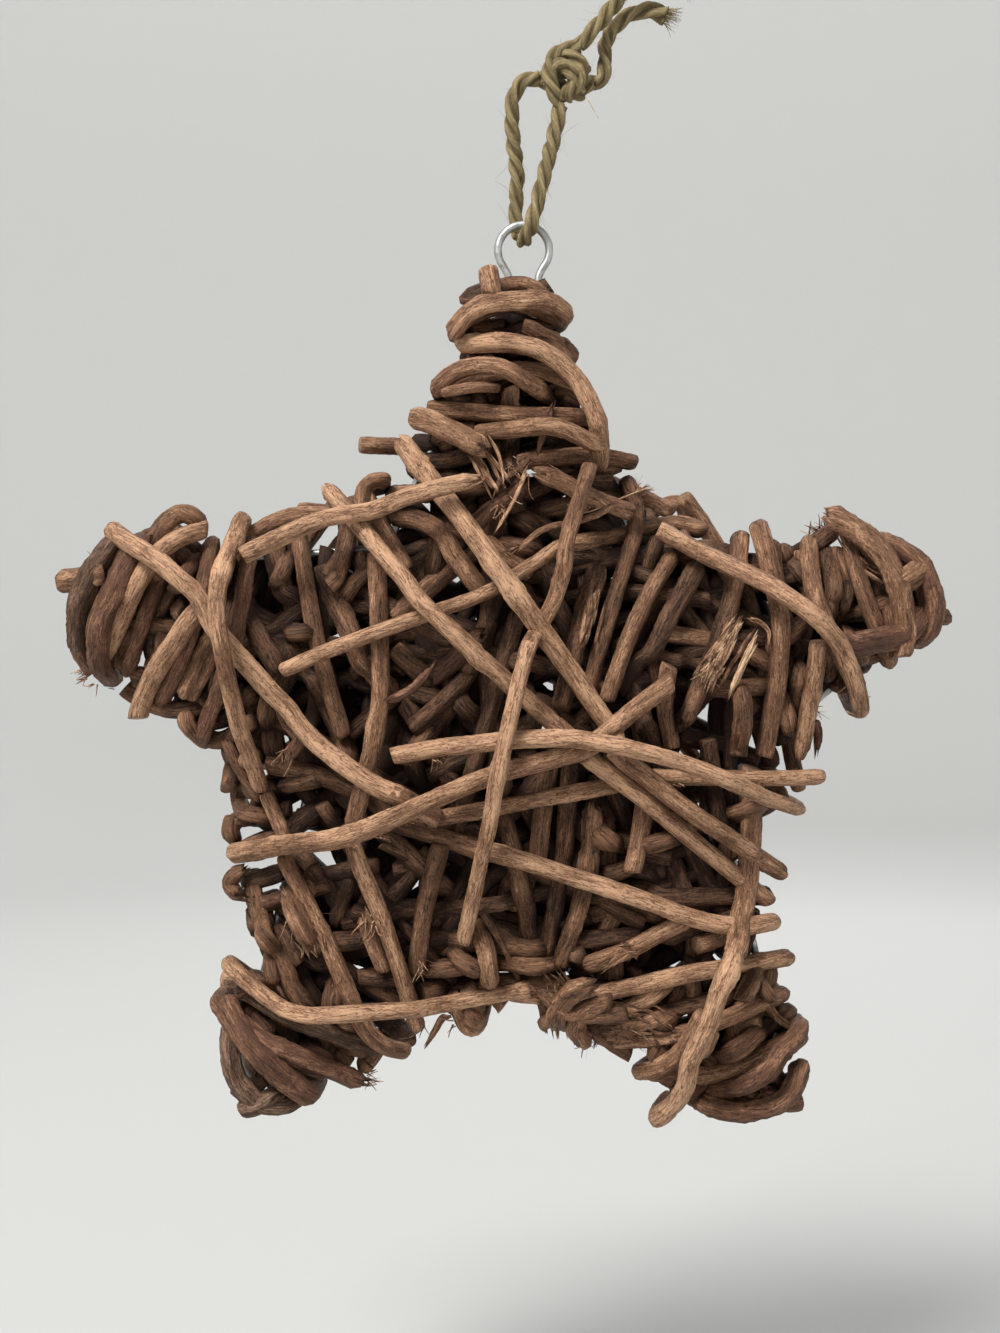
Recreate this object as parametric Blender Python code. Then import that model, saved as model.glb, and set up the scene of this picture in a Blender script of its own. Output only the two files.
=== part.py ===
"""A wicker star to hang: vine twigs laid over and wound round a star of bent wire,
with a loop of jute twine knotted through the wire's eye."""

import math

import bpy
import numpy as np

# The star over its twigs, measured from its centre.
ARMS = 5
ARM_ANGLE = 2 * math.pi / ARMS
STAR_REACH = 0.1150
NOTCH_REACH = 0.62 * STAR_REACH
ARM_END_HALF_WIDTH = 0.104 * STAR_REACH
ARM_END_START = 0.94 * STAR_REACH
STAR_HALF_THICKNESS = 0.0185
PUFF_MARGIN = 0.43 * STAR_REACH
PUFF_POWER = 0.85

# Twigs. The tables below give places in the front view, measured from the star's centre in
# UNIT, a 115th of its reach, and thicknesses as shares of TWIG_DIAMETER. The view is from
# SEEN_FROM in front of the star's middle plane, so a twig that stands nearer is drawn back
# to its true place.
UNIT = STAR_REACH / 115
TWIG_DIAMETER = 0.0048
SEEN_FROM = 0.45
SEEN_CENTRE = (-3 * UNIT, 13.5 * UNIT)
TWIG_TAPER = 0.90
TWIG_RESOLUTION = 1
FINE_SPACING = 0.0010
TWIG_POINT_SPACING = 0.0060
TWIG_STRAIGHTNESS = 0.00035
BEND_ROUNDING = 0.0045
HOOK = 0.011
WRAP_SHARE = 0.40

# The bent wire star inside, with its eye in the top arm.
WIRE_DIAMETER = 0.0020
WIRE_RESOLUTION = 2
WIRE_END_COVER = 0.0045
WIRE_NOTCH_COVER = 0.0170
WIRE_END_RADIUS = 0.0062
WIRE_REACH = STAR_REACH - WIRE_END_COVER
WIRE_NOTCH = NOTCH_REACH - WIRE_NOTCH_COVER
EYE_RADIUS = 0.0065
EYE_SIDE = 0.0029
EYE_CENTRE_HEIGHT = STAR_REACH + 0.0025
EYE_NECK_HALF_WIDTH = 0.0034
EYE_NECK_HEIGHT = STAR_REACH - 0.0055
EYE_SHOULDER_SIDE = 0.0015
EYE_SHOULDER_DROP = 0.0150
EYE_OPENING = math.radians(40)

# Twine. The object's origin is the inner top of its loop, and the star's front faces -Y.
TWINE_DIAMETER = 0.0040
TWINE_RESOLUTION = 2
TWINE_DROP = 0.0343
HANG_SIDE = -0.006
CENTRE = np.array([HANG_SIDE, 0.0, -(TWINE_DROP + EYE_RADIUS + EYE_CENTRE_HEIGHT)])
KNOT_CENTRE = (0.0074, 0.0, 0.0030)
KNOT_SIZE = (0.0125, 0.0115, 0.0155)
KNOT_SEGMENTS = 12
KNOT_RINGS = 7

# How the twigs are laid: the gap left between touching meshes, how far one bend spreads, how
# much a twig gives way to the side and not outward, and how steep the star's face counts.
LAID_GAP = 0.00045
LAYING_TURNS = 200
BEND_REACH = 0.030
SIDE_SHARE = 0.12
MOST_SLOPE = 0.3
TOUCHING = 0.0002
MAX_SETTLING = 0.006

COLLECTION = "wicker_star"

# Each row: name, thickness, shell, how it starts and ends, then one band or more of places.
# The shell is the share of the star's thickness at which the twig starts out. A "hook" turns
# round the star's edge, a "wrap" goes on behind the arm, and a "cut" end stops where it is.
# A twig of several bands is wound round an arm: each band crosses the front, and the twig
# goes behind the arm from the end of one band to the start of the next.
DEEP_TWIGS = [
    ("front_twig_01", 0.96, 0.82, "cut", "cut", [(0, 28), (-6, 8), (-16, -29)]),
    ("front_twig_02", 1.04, 0.66, "hook", "cut", [(56, 41), (54, 26), (43, -1)]),
    ("front_twig_03", 1.08, 1.00, "cut", "cut", [(23, 40), (18, 25), (13, 3)]),
    ("front_twig_04", 1.00, 0.66, "cut", "hook", [(14, -10), (13, -30), (10, -50), (4, -76)]),
    ("front_twig_05", 1.00, 0.66, "cut", "cut", [(20, -21), (19, -40), (12, -60)]),
    ("front_twig_06", 0.92, 0.70, "hook", "cut", [(-53, 45), (-49, 20), (-42, -4)]),
    ("front_twig_07", 1.04, 0.70, "cut", "cut", [(-18, -30), (-22, -46), (-24, -63)]),
    ("front_twig_08", 0.96, 0.72, "hook", "cut", [(30, 62), (33, 52), (27, 32), (20, 7)]),
    ("front_twig_09", 0.96, 0.72, "cut", "cut", [(40, 41), (31, 26), (23, 5)]),
    ("front_twig_10", 1.04, 0.72, "cut", "cut", [(-64, -12), (-50, -15), (-36, -22)]),
]
ARM_WINDINGS = [
    ("top_arm_winding", 0.96, 0.93, "wrap", "wrap",
     [(-13, 99), (0, 105), (13, 100)], [(-16, 82), (0, 87), (14, 81)],
     [(-17, 76), (0, 76), (18, 74)]),
    ("left_arm_winding", 0.96, 0.93, "wrap", "wrap",
     [(-97, 10), (-91, 28), (-84, 46)], [(-88, 4), (-80, 22), (-75, 45)],
     [(-78, -5), (-70, 18), (-65, 45)]),
    ("right_arm_winding", 0.98, 0.93, "wrap", "wrap",
     [(94, 42), (101, 35), (101, 25)], [(84, 45), (87, 32), (92, 17)],
     [(74, 45), (76, 28), (82, 12)]),
    ("lower_left_winding", 1.04, 0.93, "wrap", "wrap",
     [(-66, -87), (-61, -92), (-54, -92)], [(-68, -78), (-59, -84), (-47, -88)],
     [(-68, -67), (-52, -76), (-33, -82)]),
    ("lower_right_winding", 1.02, 0.93, "wrap", "wrap",
     [(45, -95), (56, -95), (67, -92)], [(33, -89), (52, -88), (70, -79)],
     [(24, -80), (44, -78), (68, -68)]),
]
ARM_WRAPS = [
    ("left_arm_wrap_1", 1.30, 0.97, "wrap", "wrap", [(-107, 25), (-104, 33), (-98, 40)]),
    ("left_arm_wrap_2", 1.04, 0.98, "wrap", "cut", [(-103, 12), (-94, 28), (-85, 41), (-75, 45)]),
    ("right_arm_wrap_1", 1.30, 0.98, "cut", "cut", [(77, 48), (88, 41), (95, 29), (93, 18)]),
    ("lower_left_wrap_1", 1.15, 1.00, "hook", "cut", [(-65, -70), (-54, -81), (-38, -89)]),
    ("lower_right_wrap_1", 1.04, 0.97, "cut", "hook", [(49, -70), (43, -80), (30, -86)]),
]
UPPER_TWIGS = [
    ("front_twig_11", 1.04, 0.80, "hook", "cut", [(60, 43), (67, 20), (63, -9)]),
    ("front_twig_12", 1.04, 0.80, "cut", "cut", [(74, 22), (73, 6), (72, -9)]),
    ("front_twig_13", 0.96, 0.80, "cut", "cut", [(34, -14), (55, -13), (75, -12)]),
    ("front_twig_14", 0.88, 0.80, "cut", "cut", [(-22, -25), (0, -21), (26, -16)]),
    ("front_twig_15", 1.00, 0.84, "cut", "cut", [(-34, 42), (-33, 15), (-33, 0), (-39, -26)]),
    ("front_twig_16", 0.96, 0.84, "cut", "hook", [(-57, -34), (-46, -56), (-37, -76), (-26, -82)]),
    ("front_twig_17", 0.96, 0.84, "cut", "cut", [(-38, -30), (-31, -52), (-24, -75)]),
    ("front_twig_18", 0.96, 0.84, "hook", "cut", [(-67, -61), (-57, -69), (-40, -68), (4, -66)]),
    ("front_twig_19", 1.04, 0.84, "cut", "hook", [(10, -70), (40, -64), (70, -59)]),
    ("front_twig_20", 1.12, 0.90, "cut", "cut", [(53, -54), (46, -68), (45, -82), (40, -90)]),
    ("front_twig_21", 1.04, 0.90, "cut", "cut", [(17, -9), (42, -28), (64, -45)]),
    ("front_twig_22", 0.84, 0.92, "cut", "cut", [(-57, 12), (-22, 25), (-4, 33), (12, 44)]),
    ("front_twig_23", 1.08, 0.95, "cut", "cut", [(-14, 93), (2, 91), (12, 84), (19, 71)]),
    ("front_twig_24", 0.96, 0.95, "cut", "hook", [(2, 65), (20, 67), (31, 65)]),
    ("front_twig_25", 1.08, 0.95, "cut", "cut", [(-28, 70), (-7, 43), (26, -4)]),
    ("front_twig_26", 1.04, 0.95, "cut", "cut", [(-98, 43), (-73, 25), (-50, -2), (-26, -19)]),
    ("front_twig_27", 0.96, 0.95, "hook", "cut", [(-66, 48), (-70, 33), (-66, 5), (-62, -16)]),
    ("front_twig_28", 1.08, 0.95, "cut", "hook", [(36, 46), (58, 34), (78, 20), (83, 7)]),
    ("front_twig_29", 1.08, 0.95, "hook", "cut", [(-71, -34), (-38, -28), (-10, -15), (16, -8)]),
    ("front_twig_30", 1.04, 0.97, "cut", "cut", [(24, -7), (42, -23), (67, -38)]),
    ("front_twig_31", 1.04, 0.97, "cut", "cut", [(-46, 57), (-22, 29), (13, -3)]),
    ("front_twig_32", 1.00, 0.97, "cut", "hook", [(-4, -33), (25, -42), (50, -51), (62, -50)]),
    ("front_twig_33", 0.96, 1.00, "cut", "hook", [(-30, -9), (-5, -5), (24, -5), (70, -19)]),
    ("front_twig_34", 0.88, 1.00, "cut", "cut", [(4, 19), (-2, -8), (-12, -55)]),
    ("front_twig_35", 0.96, 0.90, "cut", "cut", [(-66, 36), (-48, 44), (-32, 49), (-6, 58)]),
]


def star_margin(x, z):
    """How far inside the star's outline a place in its middle plane lies."""
    angle = np.arctan2(x, z) % ARM_ANGLE
    angle = np.minimum(angle, ARM_ANGLE - angle)
    along = np.hypot(x, z) * np.cos(angle)
    across = np.hypot(x, z) * np.sin(angle)
    notch_along = NOTCH_REACH * math.cos(ARM_ANGLE / 2)
    notch_across = NOTCH_REACH * math.sin(ARM_ANGLE / 2)
    flank = np.array([ARM_END_START - notch_along, ARM_END_HALF_WIDTH - notch_across])
    flank /= np.linalg.norm(flank)
    from_flank = (ARM_END_HALF_WIDTH - across) * flank[0] - (ARM_END_START - along) * flank[1]
    return np.minimum(from_flank, STAR_REACH - along)


def shell_depth(margin):
    """Half the star's thickness where the outline is this far away."""
    inner = 1 - np.clip(margin, 0, PUFF_MARGIN) / PUFF_MARGIN
    return STAR_HALF_THICKNESS * (1 - inner ** 2) ** PUFF_POWER


def outward(points):
    """Unit directions away from the star's inside, at points given from its centre."""
    step = UNIT / 2
    x, y, z = points.T
    margin = star_margin(x, z)
    slope_x = (margin - star_margin(x + step, z)) / step
    slope_z = (margin - star_margin(x, z + step)) / step
    depth = np.maximum(shell_depth(margin), 2 * UNIT)
    steepness = np.clip((depth - shell_depth(margin - step)) / step, 0, MOST_SLOPE)
    share = np.clip(np.abs(y) / depth, 0, 1)
    sideways = steepness + 3 * (1 - share)
    direction = np.stack([slope_x * sideways, np.sign(y) * share, slope_z * sideways], axis=1)
    return direction / np.maximum(np.linalg.norm(direction, axis=1, keepdims=True), 1e-9)


def smooth_curve(places, count):
    """A Catmull-Rom curve through the places, at evenly spread parameters."""
    knots = np.vstack([2 * places[0] - places[1], places, 2 * places[-1] - places[-2]])
    rows = []
    for value in np.linspace(0, len(places) - 1, count):
        span = min(int(value), len(places) - 2)
        t = value - span
        before, start, end, after = knots[span:span + 4]
        rows.append(0.5 * (2 * start + (end - before) * t
                           + (2 * before - 5 * start + 4 * end - after) * t ** 2
                           + (3 * start - before - 3 * end + after) * t ** 3))
    return np.array(rows)


def arc_lengths(points):
    steps = np.linalg.norm(np.diff(points, axis=0), axis=1)
    return np.concatenate([[0.0], np.cumsum(steps)])


def resample(points, count):
    """The same route with evenly spaced points."""
    lengths = arc_lengths(points)
    places = np.linspace(0, lengths[-1], count)
    return np.stack([np.interp(places, lengths, column) for column in points.T], axis=1)


def round_bends(points, reach):
    """Averages a finely spaced route over a short length, with its two ends kept."""
    spacing = arc_lengths(points)[-1] / (len(points) - 1)
    half = max(1, int(reach / spacing))
    before = 2 * points[0] - points[half:0:-1]
    after = 2 * points[-1] - points[-2:-half - 2:-1]
    padded = np.vstack([before, points, after])
    kernel = np.hanning(2 * half + 3)[1:-1]
    kernel /= kernel.sum()
    return np.stack([np.convolve(column, kernel, "valid") for column in padded.T], axis=1)


def band_curve(places):
    """A band's line in the front view, finely spaced."""
    line = smooth_curve(np.array(places, float) * UNIT, 20 * len(places))
    return resample(line, 2 + int(arc_lengths(line)[-1] / FINE_SPACING))


def behind_end(band, kind):
    """The way back behind the arm from a band's last place, as far as its kind of end goes."""
    back = band[::-1]
    lengths = arc_lengths(back)
    reach = WRAP_SHARE * lengths[-1]
    if kind == "hook":
        reach = min(HOOK, reach)
    if kind == "cut":
        return np.empty((0, 2))
    steps = np.arange(FINE_SPACING, reach, FINE_SPACING)
    return np.stack([np.interp(steps, lengths, column) for column in back.T], axis=1)


def twig_route(start_kind, end_kind, bands, shell, side):
    """A twig's centreline from the star's centre, before it is laid on the others.

    side is -1 for a twig whose bands lie on the front, and 1 for one on the back."""
    curves = [band_curve(band) for band in bands]
    stretches = [(behind_end(curves[0][::-1], start_kind)[::-1], -side)]
    for number, curve in enumerate(curves):
        stretches.append((curve, side))
        if number + 1 < len(curves):
            way_back = np.array([curve[-1], curves[number + 1][0]])
            count = 2 + int(arc_lengths(way_back)[-1] / FINE_SPACING)
            stretches.append((resample(way_back, count)[1:-1], -side))
    stretches.append((behind_end(curves[-1], end_kind), -side))
    seen = np.vstack([stretch for stretch, _ in stretches])
    sides = np.concatenate([np.full(len(stretch), number) for stretch, number in stretches])
    depth = sides * shell * shell_depth(star_margin(seen[:, 0], seen[:, 1]))
    nearness = 1 + depth / SEEN_FROM
    x = SEEN_CENTRE[0] + (seen[:, 0] - SEEN_CENTRE[0]) * nearness
    z = SEEN_CENTRE[1] + (seen[:, 1] - SEEN_CENTRE[1]) * nearness
    route = np.stack([x, depth, z], axis=1)
    route = resample(route, 2 + int(arc_lengths(route)[-1] / FINE_SPACING))
    route = round_bends(route, BEND_ROUNDING)
    return resample(route, max(4, 1 + round(arc_lengths(route)[-1] / TWIG_POINT_SPACING)))


class Pile:
    """The pieces laid so far, as short straight stretches with a radius each."""

    def __init__(self):
        self.starts = np.empty((0, 3))
        self.ends = np.empty((0, 3))
        self.radii = np.empty(0)

    def add(self, points, radius):
        self.starts = np.vstack([self.starts, points[:-1]])
        self.ends = np.vstack([self.ends, points[1:]])
        self.radii = np.concatenate([self.radii, np.full(len(points) - 1, radius)])

    def near(self, points):
        """The stretches within five twigs of a route, further than laying moves it."""
        reach = 5 * TWIG_DIAMETER
        above_low = np.maximum(self.starts, self.ends) > points.min(axis=0) - reach
        below_high = np.minimum(self.starts, self.ends) < points.max(axis=0) + reach
        inside = np.all(above_low & below_high, axis=1)
        return self.starts[inside], self.ends[inside], self.radii[inside]


def thin_out(route):
    """Drops the points that a straight stretch passes closely enough."""
    kept = [0]
    while kept[-1] < len(route) - 1:
        start = route[kept[-1]]
        for last in range(len(route) - 1, kept[-1], -1):
            run = route[last] - start
            between = route[kept[-1] + 1:last] - start
            share = between @ run / (run @ run)
            if np.all(np.linalg.norm(between - share[:, None] * run, axis=1) < TWIG_STRAIGHTNESS):
                break
        kept.append(last)
    return route[kept]


def closest(samples, starts, ends, radii):
    """For each sample, the way to it from the stretch that crowds it most, and the distance
    between their surfaces, less the sample's own radius."""
    along = ends - starts
    offset = samples[:, None, :] - starts[None, :, :]
    lengths_squared = np.maximum(np.einsum("jk,jk->j", along, along), 1e-12)
    share = np.einsum("ijk,jk->ij", offset, along) / lengths_squared
    away = offset - np.clip(share, 0, 1)[:, :, None] * along[None, :, :]
    distance = np.linalg.norm(away, axis=2)
    pick = np.argmin(distance - radii[None, :], axis=1)
    rows = np.arange(len(samples))
    return away[rows, pick], distance[rows, pick] - radii[pick]


def lay_on_pile(route, radius, pile):
    """Eases a twig off the twigs already laid, outward and aside, until it only touches them."""
    starts, ends, radii = pile.near(route)
    if len(radii) == 0:
        return route
    parameters = np.linspace(0, len(route) - 1, 5 * (len(route) - 1) + 1)
    index = np.arange(len(route))
    blend = np.clip(1 - np.abs(parameters[:, None] - index[None, :]), 0, 1)
    touched = blend > 0
    lengths = arc_lengths(route)
    bend = np.clip(1 - (np.subtract.outer(lengths, lengths) / BEND_REACH) ** 2, 0, 1) ** 2
    for _ in range(LAYING_TURNS):
        samples = blend @ route
        away, distance = closest(samples, starts, ends, radii)
        overlap = np.clip(radius + LAID_GAP - distance, 0, None)
        if overlap.max() < 0.02 * UNIT:
            break
        aside = away / np.maximum(np.linalg.norm(away, axis=1, keepdims=True), 1e-6)
        push = outward(samples) + SIDE_SHARE * aside
        worst = np.argmax(touched * overlap[:, None], axis=0)
        own = push[worst] * overlap[worst, None] * touched[worst, index][:, None]
        size = np.linalg.norm(own, axis=1)
        leader = np.argmax(bend * size[None, :], axis=1)
        route = route + own[leader] * bend[index, leader][:, None]
    return route


def settle(route, radius, pile):
    """Draws a twig that touches nothing in towards the star until it does."""
    moved = 0.0
    inward = -outward(route).mean(axis=0)
    while moved < MAX_SETTLING:
        starts, ends, radii = pile.near(route)
        if len(radii) == 0:
            return route
        samples = resample(route, 4 * len(route))
        slack = closest(samples, starts, ends, radii)[1].min() - radius - LAID_GAP
        if slack < TOUCHING:
            return route
        step = min(slack, MAX_SETTLING - moved)
        route = route + inward * step
        moved += step
    return route


def arc(centre, radius, start, end, count):
    """Points on a circle in the star's plane, angles counted from +Z towards +X."""
    return [(centre[0] + radius * math.sin(angle), centre[1] + radius * math.cos(angle))
            for angle in np.linspace(start, end, count)]


def turn_in_plane(points, angle):
    cosine, sine = math.cos(angle), math.sin(angle)
    return [(x * cosine + z * sine, z * cosine - x * sine) for x, z in points]


def wire_route():
    """The wire star's closed line, with the eye standing out of the top arm."""
    open_angle = math.pi - EYE_OPENING
    places = arc((EYE_SIDE, EYE_CENTRE_HEIGHT), EYE_RADIUS, -open_angle, open_angle, 12)
    places.append((EYE_SIDE + EYE_NECK_HALF_WIDTH, EYE_NECK_HEIGHT))
    shoulder = (WIRE_END_RADIUS + EYE_SHOULDER_SIDE, EYE_NECK_HEIGHT - EYE_SHOULDER_DROP)
    places.append(shoulder)
    notch = arc((0, 0), WIRE_NOTCH, ARM_ANGLE / 2 - 0.03, ARM_ANGLE / 2 + 0.03, 2)
    tip = arc((0, WIRE_REACH - WIRE_END_RADIUS), WIRE_END_RADIUS, -math.pi / 2, math.pi / 2, 5)
    for arm in range(ARMS):
        places += turn_in_plane(notch, arm * ARM_ANGLE)
        if arm < ARMS - 1:
            places += turn_in_plane(tip, (arm + 1) * ARM_ANGLE)
    places.append((-shoulder[0], shoulder[1]))
    places.append((EYE_SIDE - EYE_NECK_HALF_WIDTH, EYE_NECK_HEIGHT))
    return np.array([(x, 0.0, z) for x, z in places])


def towards(reach, angle):
    """A place in UNITs at this distance from the star's centre, angles counted from +Z."""
    return reach * math.sin(angle), reach * math.cos(angle)


def back_twigs():
    """The back is laid like the front, but plainer: five long twigs cross from notch to notch,
    turn at the star's rim and cross again, and five lie across the feet of the arms."""
    rows = []
    for number in range(ARMS):
        skew = 0.16 * math.sin(2.4 * number + 1)
        first = ARM_ANGLE * (number + 0.5)
        turn = first + 2 * ARM_ANGLE + 0.4 * skew
        last = turn + 2 * ARM_ANGLE - 1.8 * skew
        places = [towards(62, first + skew), towards(24, first + ARM_ANGLE),
                  towards(61, turn - 0.09), towards(68, turn), towards(61, turn + 0.09),
                  towards(31, turn + ARM_ANGLE), towards(58, last)]
        thickness = 0.88 + 0.06 * math.sin(3.1 * number)
        rows.append((f"back_twig_{number + 1}", thickness, 0.86 + 0.01 * number, "cut", "cut",
                     places))
        lean = 9 * math.cos(1.9 * number)
        foot = turn_in_plane([(-38, 60 + lean), (2, 66), (38, 60 - lean)], ARM_ANGLE * number)
        rows.append((f"back_twig_{number + 1 + ARMS}", 0.96, 0.80, "cut", "cut", foot))
    return sorted(rows, key=lambda row: row[2])


def plain_material(name, colour, roughness, metallic=0.0):
    material = bpy.data.materials.new(name)
    material.use_nodes = True
    shader = material.node_tree.nodes["Principled BSDF"]
    shader.inputs["Base Color"].default_value = (*colour, 1.0)
    shader.inputs["Roughness"].default_value = roughness
    shader.inputs["Metallic"].default_value = metallic
    material.diffuse_color = (*colour, 1.0)
    return material


def make_tube(name, points, diameter, material, resolution, closed=False, taper=1.0):
    """A round bar along the points, as a curve object with filled caps."""
    curve = bpy.data.curves.new(name, "CURVE")
    curve.dimensions = "3D"
    curve.bevel_depth = diameter / 2
    curve.bevel_resolution = resolution
    curve.use_fill_caps = not closed
    spline = curve.splines.new("POLY")
    spline.points.add(len(points) - 1)
    for number, (point, place) in enumerate(zip(spline.points, points)):
        point.co = (*place, 1.0)
        point.radius = 1 - (1 - taper) * number / (len(points) - 1)
    spline.use_cyclic_u = closed
    curve.materials.append(material)
    piece = bpy.data.objects.new(name, curve)
    bpy.data.collections[COLLECTION].objects.link(piece)
    return piece


def make_wood(pile, bark, old_bark):
    """Lays every twig in turn on the wire and on the twigs before it."""
    weathered = {"left_arm_wrap_1", "right_arm_wrap_1", "lower_left_wrap_1", "lower_left_winding"}
    rows = [(row, -1) for row in DEEP_TWIGS + ARM_WINDINGS]
    rows += [(row, 1) for row in back_twigs()]
    rows += [(row, -1) for row in ARM_WRAPS + UPPER_TWIGS]
    for (name, thickness, shell, start_kind, end_kind, *bands), side in rows:
        radius = thickness * TWIG_DIAMETER / 2
        route = twig_route(start_kind, end_kind, bands, shell, side)
        route = lay_on_pile(route, radius, pile)
        route = thin_out(settle(route, radius, pile))
        pile.add(route, radius)
        material = old_bark if name in weathered else bark
        make_tube(name, route + CENTRE, 2 * radius, material, TWIG_RESOLUTION, taper=TWIG_TAPER)


def twine_routes():
    """The loop through the eye and the two tails past the knot, in the object's own frame."""
    loop = [(0.0061, -0.0007, -0.0049), (0.0051, -0.0016, -0.0095), (0.0037, -0.0027, -0.0158),
            (0.0021, -0.0036, -0.0223), (0.0006, -0.0041, -0.0283), (-0.0006, -0.0041, -0.0328),
            (-0.0017, -0.0035, -0.0363), (-0.0030, 0.0000, -0.0382), (-0.0041, 0.0035, -0.0363),
            (-0.0049, 0.0041, -0.0328), (-0.0050, 0.0040, -0.0275), (-0.0047, 0.0034, -0.0213),
            (-0.0054, 0.0028, -0.0150), (-0.0060, 0.0020, -0.0085), (-0.0058, 0.0012, -0.0028),
            (-0.0040, 0.0005, 0.0009), (-0.0016, 0.0001, 0.0020), (0.0008, 0.0000, 0.0023)]
    tail_a = [(0.0107, -0.0012, 0.0098), (0.0134, -0.0018, 0.0129), (0.0167, -0.0022, 0.0165),
              (0.0200, -0.0024, 0.0206), (0.0236, -0.0024, 0.0244), (0.0280, -0.0022, 0.0268),
              (0.0330, -0.0020, 0.0271), (0.0372, -0.0018, 0.0250)]
    tail_b = [(0.0143, 0.0015, 0.0017), (0.0162, 0.0021, 0.0027), (0.0174, 0.0027, 0.0059),
              (0.0173, 0.0031, 0.0098), (0.0181, 0.0032, 0.0135), (0.0205, 0.0031, 0.0169),
              (0.0241, 0.0028, 0.0193), (0.0283, 0.0025, 0.0201), (0.0328, 0.0021, 0.0186)]
    return {"twine_loop": loop, "twine_tail_a": tail_a, "twine_tail_b": tail_b}


def make_knot(material):
    """The knot's outer shape, where the loop's two ends and the tails meet."""
    bpy.ops.mesh.primitive_uv_sphere_add(segments=KNOT_SEGMENTS, ring_count=KNOT_RINGS,
                                         radius=0.5, location=KNOT_CENTRE)
    knot = bpy.context.object
    knot.name = "twine_knot"
    knot.scale = KNOT_SIZE
    knot.data.materials.append(material)
    knot.data.shade_smooth()
    for collection in list(knot.users_collection):
        collection.objects.unlink(knot)
    bpy.data.collections[COLLECTION].objects.link(knot)
    return knot


def make_twine(material):
    make_knot(material)
    for name, places in twine_routes().items():
        route = smooth_curve(np.array(places), 2 * len(places) - 1)
        make_tube(name, route, TWINE_DIAMETER, material, TWINE_RESOLUTION)


def main():
    for piece in list(bpy.data.objects):
        bpy.data.objects.remove(piece, do_unlink=True)
    collection = bpy.data.collections.new(COLLECTION)
    bpy.context.scene.collection.children.link(collection)
    bark = plain_material("vine bark", (0.30, 0.18, 0.105), 0.75)
    old_bark = plain_material("weathered vine bark", (0.17, 0.11, 0.075), 0.80)
    steel = plain_material("galvanised wire", (0.52, 0.53, 0.53), 0.40, 0.9)
    jute = plain_material("jute twine", (0.38, 0.29, 0.17), 0.90)
    wire = wire_route()
    make_tube("wire_frame", wire + CENTRE, WIRE_DIAMETER, steel, WIRE_RESOLUTION, closed=True)
    pile = Pile()
    pile.add(np.vstack([wire, wire[:1]]), WIRE_DIAMETER / 2)
    make_wood(pile, bark, old_bark)
    make_twine(jute)


main()
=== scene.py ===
import math

import bmesh
import bpy
import numpy as np
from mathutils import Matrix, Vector


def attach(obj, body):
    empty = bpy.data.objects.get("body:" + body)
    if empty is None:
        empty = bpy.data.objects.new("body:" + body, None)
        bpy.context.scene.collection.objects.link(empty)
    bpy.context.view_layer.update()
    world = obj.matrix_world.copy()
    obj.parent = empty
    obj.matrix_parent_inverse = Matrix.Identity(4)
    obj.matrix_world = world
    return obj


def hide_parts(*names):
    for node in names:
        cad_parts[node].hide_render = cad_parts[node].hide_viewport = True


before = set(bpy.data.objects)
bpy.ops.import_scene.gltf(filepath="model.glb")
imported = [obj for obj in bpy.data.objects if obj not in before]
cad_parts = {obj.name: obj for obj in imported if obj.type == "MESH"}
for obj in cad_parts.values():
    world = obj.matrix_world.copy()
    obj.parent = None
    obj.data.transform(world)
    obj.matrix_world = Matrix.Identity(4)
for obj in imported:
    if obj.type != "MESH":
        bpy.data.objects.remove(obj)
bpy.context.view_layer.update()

MM = 0.001

# The star's centre in the row frame, and the view that the photo was taken from.
STAR = np.array([-0.006, 0.0, -0.1583])
SEEN_FROM = 0.45
SEEN_CENTRE = (-3 * MM, 13.5 * MM)
SEEN_HEIGHT = 0.33325
SENSOR = 36.0

# The stage. Each light: name, target, place, size, energy and colour.
FLOOR_HEIGHT = -0.36
FLOOR_REACH = 1.3
FLOOR_SIDES = 64
FLOOR_COLOUR = (0.485, 0.488, 0.480, 1.0)
RIM_BEND = 0.9
RIM_HEIGHT = 2.4
LIGHTS = [
    ("key", STAR, (-1.00, -1.45, 1.80), 1.00, 88.0, (1.0, 0.985, 0.96)),
    ("fill", STAR, (1.15, -0.80, 0.10), 0.90, 2.5, (0.95, 0.98, 1.0)),
    ("rear", STAR, (0.30, 1.20, 0.40), 1.00, 4.0, (1.0, 1.0, 1.0)),
    ("backdrop", (0.0, 2.2, 0.5), (0.0, 0.30, 1.90), 1.60, 23.0, (1.0, 1.0, 1.0)),
]
SKY_COLOUR = (0.95, 0.97, 1.0, 1.0)
SKY_STRENGTH = 0.18

# The star's puffed shape, as in the frame.
ARM_ANGLE = 2 * math.pi / 5
STAR_REACH = 0.1150
NOTCH_REACH = 0.62 * STAR_REACH
ARM_END_HALF_WIDTH = 0.104 * STAR_REACH
ARM_END_START = 0.94 * STAR_REACH
STAR_HALF_THICKNESS = 0.0185
PUFF_MARGIN = 0.43 * STAR_REACH
PUFF_POWER = 0.85

# How twigs are laid: how far their ends go round the edge, how far they are eased aside, over how
# long a stretch, in how many steps, and how far apart the points of a laid twig are. Their places are
# rounded to so many digits of a metre, so that every run lays them alike.
HOOK = 0.011
WRAP_SHARE = 0.40
MOST_ASIDE = 0.0018
EASING_REACH = 0.022
EASING_STEPS = 50
LAID_SPACING = 0.003
LAID_DIGITS = 7
LINE_SPACING = 0.0008

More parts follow.
